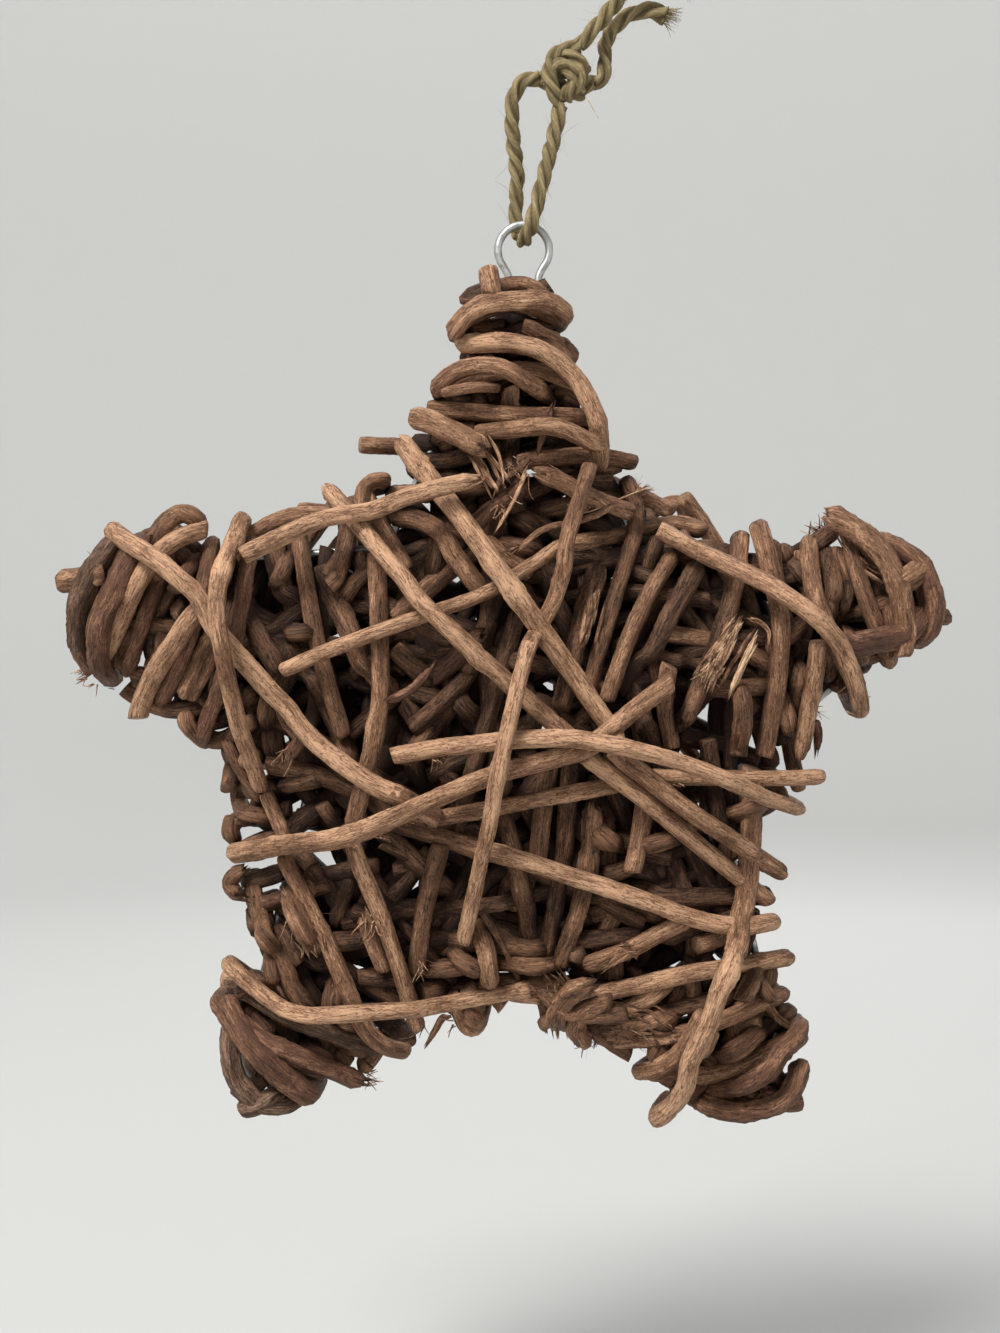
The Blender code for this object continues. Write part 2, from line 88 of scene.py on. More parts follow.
# Wire and twine.
WIRE_DIAMETER = 0.0020
WIRE_SIDES = 14
EYE = (0.0029, STAR_REACH + 0.0025)
EYE_RADIUS = 0.0065
EYE_NECK = (0.0034, STAR_REACH - 0.0055)
EYE_OPENING = math.radians(40)
WIRE_END_RADIUS = 0.0062
WIRE_SHOULDER = (WIRE_END_RADIUS + 0.0015, STAR_REACH - 0.0205)
WIRE_REACH = STAR_REACH - 0.0045
WIRE_NOTCH = NOTCH_REACH - 0.0170
TWINE_DIAMETER = 0.0040
TWINE_PITCH = 0.0165
PLY_SHARE = 0.50
PLY_GRAIN = 20
HAIRS_PER_METRE = 1500
KNOT_HAIRS_PER_METRE = 1100
KNOT_STRAND_RADIUS = 0.00205
KNOT_CENTRE = np.array([0.0074, 0.0, 0.0030])
STRAW = (0.0125, -0.0030, -0.0035)
FRAYED_REACH = 0.0045
FRAYED_FIBRES = 90

# How many twigs lie inside the star, and how many are tried across its back.
INNER_TWIGS = 84
BACK_TRIES = 30

# Tables, read by read_rows: each row is some facts, a colon, and places with commas between them.
# The twine's strands, places in mm in the row frame.
TWINE_ROUTES = """
twine_loop: 6.1 -0.7 -4.9, 5.1 -1.6 -9.5, 3.7 -2.7 -15.8, 2.1 -3.6 -22.3, 0.6 -4.1 -28.3, -0.6 -4.1 -32.8,
-1.7 -3.5 -36.3, -3 0 -38.2, -4.1 3.5 -36.3, -4.9 4.1 -32.8, -5 4 -27.5, -4.7 3.4 -21.3, -5.4 2.8 -15,
-6 2 -8.5, -5.8 1.2 -2.8, -4 0.5 0.9, -1.6 0.1 2, 0.8 0 2.3
twine_tail_a: 10.7 -1.2 9.8, 13.4 -1.8 12.9, 16.7 -2.2 16.5, 20 -2.4 20.6, 23.6 -2.4 24.4, 28 -2.2 26.8,
33 -2 27.1, 37.2 -1.8 25
twine_tail_b: 14.3 1.5 1.7, 16.2 2.1 2.7, 17.4 2.7 5.9, 17.3 3.1 9.8, 18.1 3.2 13.5, 20.5 3.1 16.9,
24.1 2.8 19.3, 28.3 2.5 20.1, 32.8 2.1 18.6
"""

# The knot's turns, places in mm from its middle.
KNOT_TURNS = """
: -1.3 -0.7 -7.4, -2.9 -2.2 -4.8, -4 -2.2 -1.2, -3.8 -1.9 2.4, -1.9 -2.2 4.9, 0.9 -2 5.9, 3.3 -1.2 6.8
: -2.2 1.4 4.6, -0.6 -1.4 4.9, 1.6 -3.1 3.6, 3.7 -3.3 0.9, 3.2 -3.4 -2.2, 1.4 -3.2 -4.4, 0.2 -1.2 -5.9
: -3.4 -0.6 -0.6, -1.9 -3.3 1.3, 0.3 -4 0.7, 1.9 -3.7 -1.6, 2.7 -1.8 -4.3, 3.6 0.6 -4.6
: -6.6 0 -0.7, -4 1.6 -1.2, -2 3.2 1.2, 1 3.7 2.6, 3.6 2.4 2.2, 4.6 0.2 1.6
: -3.4 1.6 3, -2.6 3 0, -0.2 3.8 -2.6, 2.8 2.9 -3.2, 4.8 1.8 -2.2, 6.9 1.5 -1.3
"""

# Each look: its material's slot, tone and roughness of the surface.
LOOKS = {
    "tan": (0, 0.64, 0.8),
    "bark": (0, 0.50, 1.0),
    "dark": (0, 0.26, 1.1),
    "grey": (1, 0.43, 1.6),
    "rough": (0, 0.42, 2.2),
    "red": (2, 0.41, 1.5),
    "pale": (3, 0.55, 1.8),
}
CUT = 4
GROOVED_SHARE = 0.45
BUD_SPACING = 0.07

# The smaller twigs, by piece: thickness in mm, shell, "over" for one laid over the others and not in
# under them, the kinds of its ends and its look, where they aren't cut-cut and dark, and places in mm
# from the star's centre in the front view, as in all the tables that follow.
EXTRA_TWIGS = """
top_arm_twigs
4.6 0.9 over cut-hook bark: -2 109, 4 109.5, 8 106
4.8 0.95 over wrap-wrap bark: -13 95, -8 100.5, 0 102.5, 7 103, 12 99.5
5.4 0.9 over bark: -5 109.5, -4.5 106.5, -4 103
4.6 0.85 wrap-hook: 0 93, 8 94, 13 91, 14 87
4.6 0.8 wrap-wrap: -13 91, 0 97, 12 94
2.6 0.98 over hook-cut: -15 81, -9 82, -2 83
4.6 0.85 cut-torn rough: 0 85, 0.5 78, 0 71
4.6 0.95 over cut-hook bark: -9 72, 0 73, 7 73.5, 13 71.5, 19 68
4.6 0.92 over wrap-wrap bark: -16.5 82, -12 85.5, -4 86.5, 4 84, 12 80
1.7 0.98 over torn-torn: 9 77, 6 67
4.4 0.8 wrap-wrap bark: -15 88, -4 82, 9 77, 17 76
4.2 0.7 wrap-wrap: -18 70, -6 79, 8 88, 14 90
4.2 0.7 wrap-wrap: -12 97, -2 90, 10 84, 17 80
upper_right_twigs
4.6 0.97 over torn-cut tan: 6 62, 12 60, 17 57, 22 55, 30 52
5 0.8 hook-cut bark: -37 56, -33 48, -27 38
4.5 0.9 torn-hook tan: 15 45, 25 47, 35 49, 43 51, 48 49
4.8 0.8 hook-cut: 46 38, 42 31, 37 22, 33 14, 28 6
4.5 0.75 hook-cut: 47 38, 50 30, 51 18
4.8 0.88 tan: 38 24, 50 22, 58 20, 67 15
4.5 0.86 bark: 55 17, 58 12, 63 3
4.5 0.7: 31 12, 38 15, 48 18
4.5 0.78 bark: 41 13, 40 4, 42 -8
4.2 0.86 red: 59 13, 52 7, 42 -4
4.6 0.8: 44 -5, 55 -8, 64 -11
5 0.62 hook-cut: 36 46, 34 30, 38 10
4.6 0.58: 5 30, 25 34, 50 32
4.6 0.62: 20 18, 45 8, 72 8
4.6 0.66 hook-cut: 26 60, 20 40, 24 18
4.6 0.6: 57 14, 58.5 2, 58 -10
4.4 0.55: 50 -6, 51.5 -18, 52 -30
right_arm_twigs
5 0.9 hook-cut: 81 50, 77 47, 71 43
4.6 0.82 hook-cut: 66 45, 67 32, 70 22
5 0.84: 83 42, 78 36, 75 30
6 0.9 over torn-wrap red: 80 20.5, 88 21, 95 22, 98 26
5 0.9 cut-wrap bark: 84 13, 95 16, 99 20
5 0.82 wrap-wrap red: 88 45, 94 34, 95 20
5.2 0.9 over wrap-wrap red: 93 43, 98 39.5, 101.5 34, 102.5 28, 100 21
5.8 0.85 over bark: 94.5 32.5, 98 35, 101.5 38
4.4 0.85: 71 1, 79 7, 87 13
4.8 0.74 wrap-wrap: 68 44, 80 30, 88 14
4.8 0.72 wrap-wrap: 79 44, 81 28, 80 10
4.6 0.7: 66 18, 82 28, 99 30
left_arm_twigs
6 0.85 over bark: -109 34, -104.5 34.5, -99 36.5
6.4 0.92 over wrap-wrap grey: -96 43, -101 37, -105 28, -105 18
6 0.86 over wrap-wrap red: -93 44, -98 32, -101 20, -100 9
5.4 0.93 wrap-wrap red: -110 23, -108 15, -103 8
5 0.93 wrap-wrap: -100 8, -96 19, -91 31, -85 42
5.2 0.9 wrap-wrap: -97 42, -91 47.5, -85 48.5, -80 43
4.8 0.94 over torn-wrap: -88 42, -84 48, -80 50, -76 47
5 0.86 torn-cut grey: -84 37, -89 30, -93 20, -91 13
5 0.97 over tan: -92.5 1, -90 8, -85 16, -80 24, -76 29
6.2 0.86 rough: -83 6, -78 15, -73 25
4.8 0.88 grey: -86 28, -82 20, -80 14
5 0.92 wrap-cut red: -97 11, -88 8, -78 5, -69 6
4.8 0.8 wrap-cut: -100 9, -95 4.5, -85 2, -76 3
4.8 0.94 hook-cut bark: -86 3, -80 -1.5, -74 0, -67 6
4.6 0.9 hook-cut bark: -82 0, -79 -5, -75 -6, -67 -1
3 0.9 hook-cut: -73 -6, -70 -12, -65 -20
5 0.78 wrap-wrap grey: -105 34, -101 22, -99 12
5 0.72 wrap-wrap: -93 42, -84 28, -82 2
5 0.7 wrap-wrap: -84 45, -76 30, -90 8
5 0.66: -104 26, -88 22, -66 20
4.6 0.9 wrap-wrap: -106 38, -109 30, -108 22
left_middle_twigs
5.2 0.84 hook-cut: -67 45, -68 34, -64 22, -59 12
4.6 0.92 cut-hook tan: -66 47, -60 51, -52 53, -44 52
4.2 0.97 over hook-cut bark: -31 57.5, -34 58, -36.5 55, -36 48
5 0.86 hook-cut: -41 54, -43 44, -46 34
5.4 0.9 cut-torn rough: -49 40, -44 30, -40 22, -36 13, -32 5
5 0.93 tan: -32 52, -25 51, -19 47, -14 40, -8 32
5.6 0.94 over cut-torn bark: -23 75, -15 72.5, -5 67.5
4.8 0.84 hook-cut: -25 66, -17 66, -8 69.5
4.6 0.86 cut-torn red: -10 48, -4 54, 2 58, 4 62
4.8 0.78 bark: -31 27, -24 33, -18 38, -11 43
4.4 0.84 bark: -7 45, 0 41, 6 37
5.5 0.72 cut-torn red: -29 5, -20 11, -14 16, -7 22
4.8 0.66: -25 -2, -18 5, -11 13
5 0.8 cut-torn bark: -29 4, -23 -5, -20 -12, -16 -17
4.6 0.8 bark: -44 -6, -36 0, -29 6
4.6 0.92 torn-cut bark: -65 8, -59 9
4 0.84 cut-torn red: -58 6, -56 -1, -52 -4, -56 -9
4.6 0.9 hook-cut: -67 -19, -58 -17.5, -50 -16
3.6 0.84 bark: -63 -19, -58 -31
4.2 0.9: -67 -17, -71 -20, -67 -25, -58 -22
4.4 0.84 cut-hook: -58 -27, -68 -23.5, -73 -26, -70 -31
4.6 0.86 hook-torn: -70 -33, -64 -30, -56 -29
4.6 0.86 hook-torn grey: -68 -40, -58 -37
4.4 0.92 over torn-torn: -66 -37, -70 -40.5, -66 -43.5
4.6 0.82 hook-cut red: -65 -46, -55 -43, -48 -41
5.6 0.62 hook-cut: -60 46, -56 25, -62 0, -58 -20
5.2 0.6: -70 30, -50 24, -20 44
5.2 0.58: -66 -2, -40 10, -14 6
5.2 0.6: -60 -30, -36 -8, -18 24
5 0.62 hook-cut: -22 66, -20 44, -30 14
5 0.6 hook-cut: -6 72, -2 50, 10 20
5 0.45: -36 46, -5 52, 28 56
5 0.35: -32 54, 0 44, 32 40
5 0.45: -20 62, 4 50, 20 36
5 0.4: -24 58, 0 60, 26 60
4.4 0.7: -52 -40.5, -44 -38.5, -36 -37
centre_twigs
4.6 0.74 bark: 9 -10, 8 -17, 7 -24, 6 -36
4.6 0.8 bark: 34 -18, 33 -26, 30 -38
8 0.8 torn-cut rough: 5 -35, 1.5 -42, 0 -49
4.8 0.8 cut-hook bark: -9 -52, -6 -58, -5 -66
1.9 0.92 cut-torn: -8 -47, -2 -57, 2 -66
4.8 0.72 bark: -24 -51, -10 -52, 0 -52.5, 10 -54
4.6 0.84 torn-cut bark: -37 -49, -35 -55, -32 -62
4.4 0.9 cut-torn tan: 19 -61, 30 -57, 38 -53, 47 -49
5.6 0.84 torn-cut rough: 18 -50, 30 -48, 40 -49
4.6 0.86 bark: 27 -48, 24 -54, 21 -60
1.8 0.86 cut-torn: -32 -33, -22 -38, -16 -38
5 0.6: -30 -40, 0 -30, 40 -34
5 0.45: -44 -67, 0 -62, 32 -65
5 0.3: -28 -58, 2 -57, 30 -60
5 0.3: -22 -69, 0 -67, 24 -69
5 0.58: -20 8, 6 -18, 34 -46
5 0.6: -44 -18, -16 -44, 10 -66
5 0.56: 46 -40, 20 -26, -4 -4, -30 20
5 0.62 cut-hook: 24 -14, 26 -40, 24 -70
5 0.62 cut-hook: 38 -14, 42 -36, 50 -54
5 0.64 hook-cut: -50 -58, -20 -56, 16 -60
5 0.6 hook-cut: 72 -18, 52 -26, 22 -34
5 0.64 hook-cut: 66 -44, 40 -44, 6 -46
4.4 0.5: -30 -47, -25 -41, -20 -34
4.4 0.6: -38 -66, -28 -66, -18 -64
lower_left_twigs
4.6 0.9 hook-hook bark: -67 -40, -64 -51, -59 -60, -55 -69, -50 -75
5.2 0.8 hook-cut rough: -58 -42, -54 -50, -50 -58
5 0.95 hook-cut: -65.5 -46, -64.5 -54, -61 -62, -55 -70
4.8 0.84 torn-cut: -56 -56, -52 -61, -46 -61
5 0.94 cut-hook bark: -67 -71, -58 -74, -48 -76, -42 -79, -33 -84
5 0.86 cut-hook: -38 -75, -30 -79, -24 -83
5.4 0.92 over hook-hook grey: -68 -77, -67.5 -85, -64.5 -91, -59 -94, -54 -92
6.4 0.92 over wrap-wrap red: -68.5 -71, -63 -79, -56 -86, -50 -90
5.2 0.86 over cut-torn grey: -65.5 -93.5, -62 -93, -57 -90
4.6 0.86 torn-cut bark: -47 -76, -46 -81, -45 -86
5 0.8 wrap-wrap: -68 -72, -66 -80, -58 -90
5 0.74 wrap-wrap: -66 -66, -56 -72, -40 -86
5 0.72: -56 -66, -60 -80, -64 -92
4.8 0.86 torn-hook bark: -33 -82, -35 -86, -39 -90
3.6 0.8 bark: -14 -70, -11.5 -77, -9 -80, -6.8 -77, -5 -70
4.4 0.8 cut-hook bark: -4 -68, -3 -73, 1 -75
4.6 0.82 cut-hook: 14 -68, 12 -73, 7 -75.5
4.4 0.8 cut-hook bark: -10 -68, -8.5 -73, -8 -76
4.4 0.86: -42 -48, -37 -50, -33 -50
5 0.66 cut-hook: -46 -56, -44 -72, -50 -88
3.8 0.6: -64 -46, -62.5 -55, -61 -64
lower_right_twigs
5.2 0.92 torn-cut bark: 57 -52, 51 -55, 47 -56
6 0.93 hook-cut bark: 65 -61, 60 -71, 56 -81, 53 -89
4.8 0.92 over cut-wrap bark: 48.5 -74, 45 -81, 38 -86, 30.5 -88
5.4 0.92 over wrap-wrap red: 70 -77, 64 -83, 57 -88.5, 50 -92
3.2 0.92 hook-hook: 63 -65, 69 -72, 70.5 -78, 69.5 -84
5.2 0.86 over cut-torn red: 70 -93, 66 -93.5, 61 -91
5.6 0.92 over hook-hook rough: 45 -93, 53 -94.5, 62 -94, 68 -89.5, 69.5 -84
5 0.9 torn-cut bark: 44 -65, 45 -71, 46 -78
7.5 0.84 torn-torn rough: 16 -72, 27 -76, 38 -78
6 0.84 torn-hook rough: 44 -72, 34 -76, 22 -80
4.4 0.9 torn-torn tan: 22 -76, 32 -72, 40 -67
5 0.84 torn-hook: 18 -76, 24 -81, 31 -86
5.4 0.92 over torn-hook rough: 20 -63, 14 -65, 11 -70, 13 -75
4.6 0.9 over cut-hook rough: 24 -67, 18 -69, 16 -74, 19 -78
4.2 0.9 over torn-cut: 9 -66, 14 -70, 21 -71, 28 -70
5 0.8 wrap-wrap bark: 68 -68, 56 -74, 34 -84
5 0.76 wrap-wrap: 72 -72, 58 -82, 42 -92
5 0.72: 50 -60, 62 -78, 68 -92
5 0.72 wrap-wrap: 26 -76, 44 -84, 62 -94
4.6 0.84 cut-hook tan: -24 -71, -10 -69, 8 -69.5
3.6 0.5: 61.5 -47, 60.5 -55, 58 -62
5 0.9 cut-wrap bark: 48 -79, 44 -86, 38 -90, 30.5 -88
5 0.86 cut-wrap red: 50 -87, 44 -93.5, 37 -92.5
"""

# Torn strips: width in mm, how flat, shell and look.
STRIPS = """
1.4 0.35 1.04 pale: 34 58, 26 55, 19 52, 14 51
1.9 0.35 1.04 dark: 24 53, 18 50, 8 48, 2 43
1.2 0.4 1.06 tan: 3 63, 1 57, -2 52, -4 48
1.1 0.4 1.06 tan: -5 70, -3 66, -2 60
1.6 0.4 1.08 dark: 4 66, 1 62, -3 61, -4 57
1.5 0.4 1.04 bark: 57 25, 61 24.5, 63 22, 62 19
3 0.3 1.03 red: 74 1, 77 -2, 75 -6
3.6 0.35 1 red: -66 -68, -61 -65, -56 -69
3 0.35 1 rough: 62 -70, 65 -73, 69 -77
2 0.4 1 bark: -16 -73, -18 -77, -22 -79
3.4 0.3 1.02 rough: -57 -43, -54 -50, -50 -58
3.2 0.3 1.02 rough: 20 -72, 28 -74, 36 -79
2.6 0.3 1.03 red: -30 5, -24 8, -20 13
"""

# Patches of splintered wood: how wide in mm, how many splinters and their look.
SPLINTERS = """
7 34 pale: 58 25, 49 10
3 7 tan: 8 63, 24 54
5 14 bark: -56 -43, -48 -57
4 9 tan: -9 68, -3 58
3 7 tan: 20 -61, 30 -57
9 26 dark: 8 -63, 16 -75
4 8 dark: 80 48, 93 36
8 26 dark: 20 -72, 40 -78
4 8 bark: 16 44, 12 33
4 9 bark: 22 33, 19 20
"""

# Bundles of fine torn fibres: how far they spread in mm, how many, their length in mm and way.
TUFTS = """
3 26 7 0.3 -1: 0 62
2 14 5 -0.2 -1: -2 53
2 16 5 0.8 0.5: 32 58
3 16 6 -1 -0.4: 20 53
2.5 30 5 -0.2 -1: 51 14
2.5 14 4 0.5 1: 55 22
2 12 4 0.6 -0.4: 79 3
2 16 3.5 0.3 -1: 86 6
2 12 3 -1 -0.4: -107 12
2 8 3 -0.7 -1: -104 7
2 8 5 -0.7 1: -104 39
2 14 4 -0.8 0.7: 76 49
3.5 40 8 0.5 -1: -53 -50
2 10 5 -0.5 -1: -56 -8
2 10 4 -1 0.3: -29 -27
2 8 4 0.3 -1: -18 -12
2 18 4 1 0.1: -36 -90
2 14 4 -0.6 -1: -62 -94
4 40 5 0.2 -1: 12 -68
5 34 6 0.9 -0.4: 30 -76
2 12 4 -0.4 -1: 20 -80
2 10 6 -0.8 -0.6: -19 -77
2 10 4 0.2 -1: -23 -62
2 10 3 1 0: 42 -17
2 12 4 -0.8 -0.5: 2 44
3 18 6 -0.3 -1: -34 -50
"""

# Twigs in place of the frame's that aren't cut-cut bark: ends, look, and where they have knots.
NODE_LOOKS = """
front_twig_01 torn-torn
front_twig_02 cut-torn 0.42 0.6
front_twig_03 torn-cut rough 0.36
front_twig_04 cut-torn 0.7
front_twig_05 torn-cut rough 0.08 0.35
front_twig_12 cut-torn
front_twig_13 tan
front_twig_15 0.66
front_twig_17 torn-cut
front_twig_18 tan
front_twig_19 tan
front_twig_20 tan 0.16
front_twig_21 tan
front_twig_22 tan
front_twig_23 tan
front_twig_25 torn-cut tan 0.1 0.55
front_twig_26 tan
front_twig_27 tan 0.3 0.42
front_twig_28 cut-torn tan
front_twig_29 tan
front_twig_30 tan
front_twig_31 torn-cut tan 0.7
front_twig_32 torn-cut tan
front_twig_33 tan
front_twig_34 tan 0.4
front_twig_35 cut-torn tan
left_arm_winding red
left_arm_wrap_1 torn-cut grey
left_arm_wrap_2 tan
right_arm_wrap_1 torn-cut rough
lower_left_winding grey
lower_left_wrap_1 cut-torn red
"""

# The frame's twigs that lie deepest in the front, made a little darker with painted shade.
DEEP_NODES = {f"front_twig_{number:02d}" for number in range(1, 11)}

# Joins: the node a twig carries on, the node it leads to if any, and its look. The third number
# of a place is how much deeper it is.
JOINS = """
front_twig_25 front_twig_30 tan: 26 -5 0.5
front_twig_31 front_twig_21 tan: 15 -5 1
front_twig_10 front_twig_32 bark: -30 -25 1.2, -18 -29 1.5, -9 -32 1.2
front_twig_34 bark: 5.5 21 4.5, 8.5 26 7.5, 11 31 8, 13 38 7, 14 46 6, 17 56 6, 19.5 64 9
front_twig_29 bark: 20 -6 2, 25 -2 4.5, 31 3 6, 40 10 7
front_twig_26 bark: -23 -22 2.5, -18 -25 4
front_twig_20 tan: 36.6 -99.2 4, 37 -98.2 9.5, 39.5 -94.5 14
front_twig_20 bark: 57 -50 7, 58.5 -44 10, 59.5 -33 10, 60 -22 10, 60 -12 9
front_twig_23 tan: 22 66 6, 21 63 14
front_twig_18 tan: 4 -67 1, 9 -68 4
front_twig_18 tan: -70 -63 5, -71 -68 13
"""


def rng_for(name):
    """A random generator that depends on a name alone."""
    seed = 7
    for letter in name:
        seed = (seed * 131 + ord(letter)) % 2147483647
    return np.random.default_rng(seed)


def read_rows(text):
    """Each row's words, its numbers and its places; a row goes on after a comma at a line's end."""
    rows = []
    for line in text.replace(",\n", ", ").strip().splitlines():
        facts, _, places = line.partition(":")
        words = [fact for fact in facts.split() if fact[0].isalpha()]
        numbers = [float(fact) for fact in facts.split() if not fact[0].isalpha()]
        places = [tuple(map(float, place.split())) for place in places.split(",") if place]
        rows.append((words, numbers, places))
    return rows


def read_words(words, look):
    """A row's look, its two ends and its way, which are the usual ones where it names no other."""
    ends, way = ("cut", "cut"), -1
    for word in words:
        if word == "over":
            way = 1
        elif "-" in word:
            ends = tuple(word.split("-"))
        elif word in LOOKS:
            look = word
    return look, ends, way


def twig_groups(text):
    """Each group's name, with a row for each twig as add_rows takes it."""
    groups = {}
    for words, numbers, places in read_rows(text):
        if places:
            look, ends, way = read_words(words, "dark")
            rows.append((*numbers, way, *ends, look, places))
        else:
            rows = groups[words[0]] = []
    return groups


def smooth_curve(places, count):
    """A Catmull-Rom curve through the places, at evenly spread parameters."""
    places = np.array(places, float)
    knots = np.vstack([2 * places[0] - places[1], places, 2 * places[-1] - places[-2]])
    rows = []
    for value in np.linspace(0, len(places) - 1, count):
        span = min(int(value), len(places) - 2)
        t = value - span
        before, start, end, after = knots[span:span + 4]
        rows.append(0.5 * (2 * start + (end - before) * t
                           + (2 * before - 5 * start + 4 * end - after) * t ** 2
                           + (3 * start - before - 3 * end + after) * t ** 3))
    return np.array(rows)


def arc_lengths(points):
    steps = np.linalg.norm(np.diff(points, axis=0), axis=1)
    return np.concatenate([[0.0], np.cumsum(steps)])


def resample(points, spacing):
    """The same line with points about this far apart."""
    lengths = arc_lengths(points)
    places = np.linspace(0, lengths[-1], max(4, 1 + int(round(lengths[-1] / spacing))))
    return np.stack([np.interp(places, lengths, column) for column in points.T], axis=1)


def round_bends(points, reach):
    """Averages a finely spaced line over a short length, with its two ends kept."""
    spacing = arc_lengths(points)[-1] / (len(points) - 1)
    half = min(max(1, int(reach / spacing)), len(points) - 2)
    before = 2 * points[0] - points[half:0:-1]
    after = 2 * points[-1] - points[-2:-half - 2:-1]
    padded = np.vstack([before, points, after])
    kernel = np.hanning(2 * half + 3)[1:-1]
    kernel /= kernel.sum()
    return np.stack([np.convolve(column, kernel, "valid") for column in padded.T], axis=1)


def normals_along(points):
    """Directions along a line, and two across it that turn as little as they can."""
    along = np.gradient(points, axis=0)
    along /= np.linalg.norm(along, axis=1, keepdims=True)
    first = np.cross(along[0], [0.31, 0.83, 0.46])
    across = [first / np.linalg.norm(first)]
    for direction in along[1:]:
        turned = across[-1] - direction * np.dot(across[-1], direction)
        across.append(turned / np.linalg.norm(turned))
    across = np.array(across)
    return along, across, np.cross(along, across)


def round_angles(sides):
    return np.linspace(0, 2 * math.pi, sides, endpoint=False)[None, :]


def rings_round(line, across, beside, radii, theta, flat=1.0):
    """A ring of points round each place of a line."""
    return (line[:, None, :] + across[:, None, :] * (radii * np.cos(theta))[:, :, None]
            + beside[:, None, :] * (flat * radii * np.sin(theta))[:, :, None])


def grain_round(angle, s, radius):
    """Where the points of rings lie in a bar's grain, in mm: across it, then along it."""
    angle = angle + 0 * s
    return np.stack([np.cos(angle) * radius * 1000, np.sin(angle) * radius * 1000, s * 1000 + 0 * angle],
                    axis=2)


def ring_faces(rings, sides, closed=False):
    """Quads between neighbouring rings of points."""
    faces = []
    for ring in range(rings if closed else rings - 1):
        here = ring * sides
        there = ((ring + 1) % rings) * sides
        for side in range(sides):
            after = (side + 1) % sides
            faces.append([here + side, here + after, there + after, there + side])
    return faces


def cap_faces(rings, sides, end_slots):
    """Triangles that close the first and last rings, around two more points at the very end."""
    total = rings * sides
    faces = []
    for side in range(sides):
        after = (side + 1) % sides
        faces.append([after, side, total])
        faces.append([total - sides + side, total - sides + after, total + 1])
    return faces, list(end_slots) * sides


def link_object(name, data):
    thing = bpy.data.objects.new(name, data)
    bpy.context.scene.collection.objects.link(thing)
    return thing


class Shape:
    """Gathers bars into one mesh, with where each point lies in its grain and how light it is."""

    def __init__(self):
        self.points, self.faces, self.slots, self.grain, self.tone = [], [], [], [], []
        self.count = 0

    def add(self, points, faces, slots, grain, tone):
        self.points.append(points)
        self.faces += [[corner + self.count for corner in face] for face in faces]
        self.slots += slots
        self.grain.append(grain)
        self.tone.append(tone)
        self.count += len(points)

    def add_bar(self, points, tips, slot, end_slots, grain, tone):
        """Adds a closed bar from its rings of points and the two points that close its ends."""
        rings, sides = points.shape[:2]
        faces = ring_faces(rings, sides)
        caps, cap_slots = cap_faces(rings, sides, end_slots)
        points = np.vstack([points.reshape(-1, 3), *tips])
        self.add(points, faces + caps, [slot] * len(faces) + cap_slots, grain, tone)

    def finish(self, name, materials, slot, *nodes):
        """Makes the piece, which rides on the one body and stands for these nodes."""
        mesh = bpy.data.meshes.new(name)
        mesh.from_pydata(np.vstack(self.points).tolist(), [], self.faces)
        for material in materials:
            mesh.materials.append(material)
        mesh.polygons.foreach_set("material_index", self.slots)
        grain = mesh.attributes.new("grain", "FLOAT_VECTOR", "POINT")
        grain.data.foreach_set("vector", np.vstack(self.grain).ravel())
        tone = mesh.attributes.new("tone", "FLOAT", "POINT")
        tone.data.foreach_set("value", np.concatenate(self.tone))
        mesh.shade_smooth()
        mesh.update()
        piece = link_object(name, mesh)
        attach(piece, "root")
        if nodes:
            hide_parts(*nodes)
        return piece


def waves(rng, theta, along, orders, wavelengths, height):
    """A sum of slow waves round and along a bar."""
    total = np.zeros(np.broadcast(theta, along).shape)
    for order, wavelength in zip(orders, wavelengths):
        phase = rng.uniform(0, 2 * math.pi)
        twist = rng.uniform(-1, 1)
        wave = np.cos(order * theta + 2 * math.pi * along * twist / wavelength + phase)
        total = total + wave * rng.uniform(0.5, 1.0)
    return total * height / math.sqrt(len(orders))


def star_margin(x, z):
    """How far inside the star's outline a place in its middle plane lies."""
    angle = np.arctan2(x, z) % ARM_ANGLE
    angle = np.minimum(angle, ARM_ANGLE - angle)
    along = np.hypot(x, z) * np.cos(angle)
    across = np.hypot(x, z) * np.sin(angle)
    notch_along = NOTCH_REACH * math.cos(ARM_ANGLE / 2)
    notch_across = NOTCH_REACH * math.sin(ARM_ANGLE / 2)
    flank = np.array([ARM_END_START - notch_along, ARM_END_HALF_WIDTH - notch_across])
    flank /= np.linalg.norm(flank)
    from_flank = (ARM_END_HALF_WIDTH - across) * flank[0] - (ARM_END_START - along) * flank[1]
    return np.minimum(from_flank, STAR_REACH - along)


def shell_depth(margin):
    """Half the star's thickness where the outline is this far away."""
    inner = 1 - np.clip(margin, 0, PUFF_MARGIN) / PUFF_MARGIN
    return STAR_HALF_THICKNESS * (1 - inner ** 2) ** PUFF_POWER


def shade(points):
    """Painted shade: how much darker the bark is made inside the star, the more so the deeper it lies."""
    x, y, z = np.moveaxis(points - STAR, -1, 0)
    margin = star_margin(x, z)
    share = np.abs(y) / np.maximum(shell_depth(margin), 0.006)
    return -1.00 * np.clip(margin / 0.013, 0, 1) * np.clip(0.90 - share, 0, 0.8)


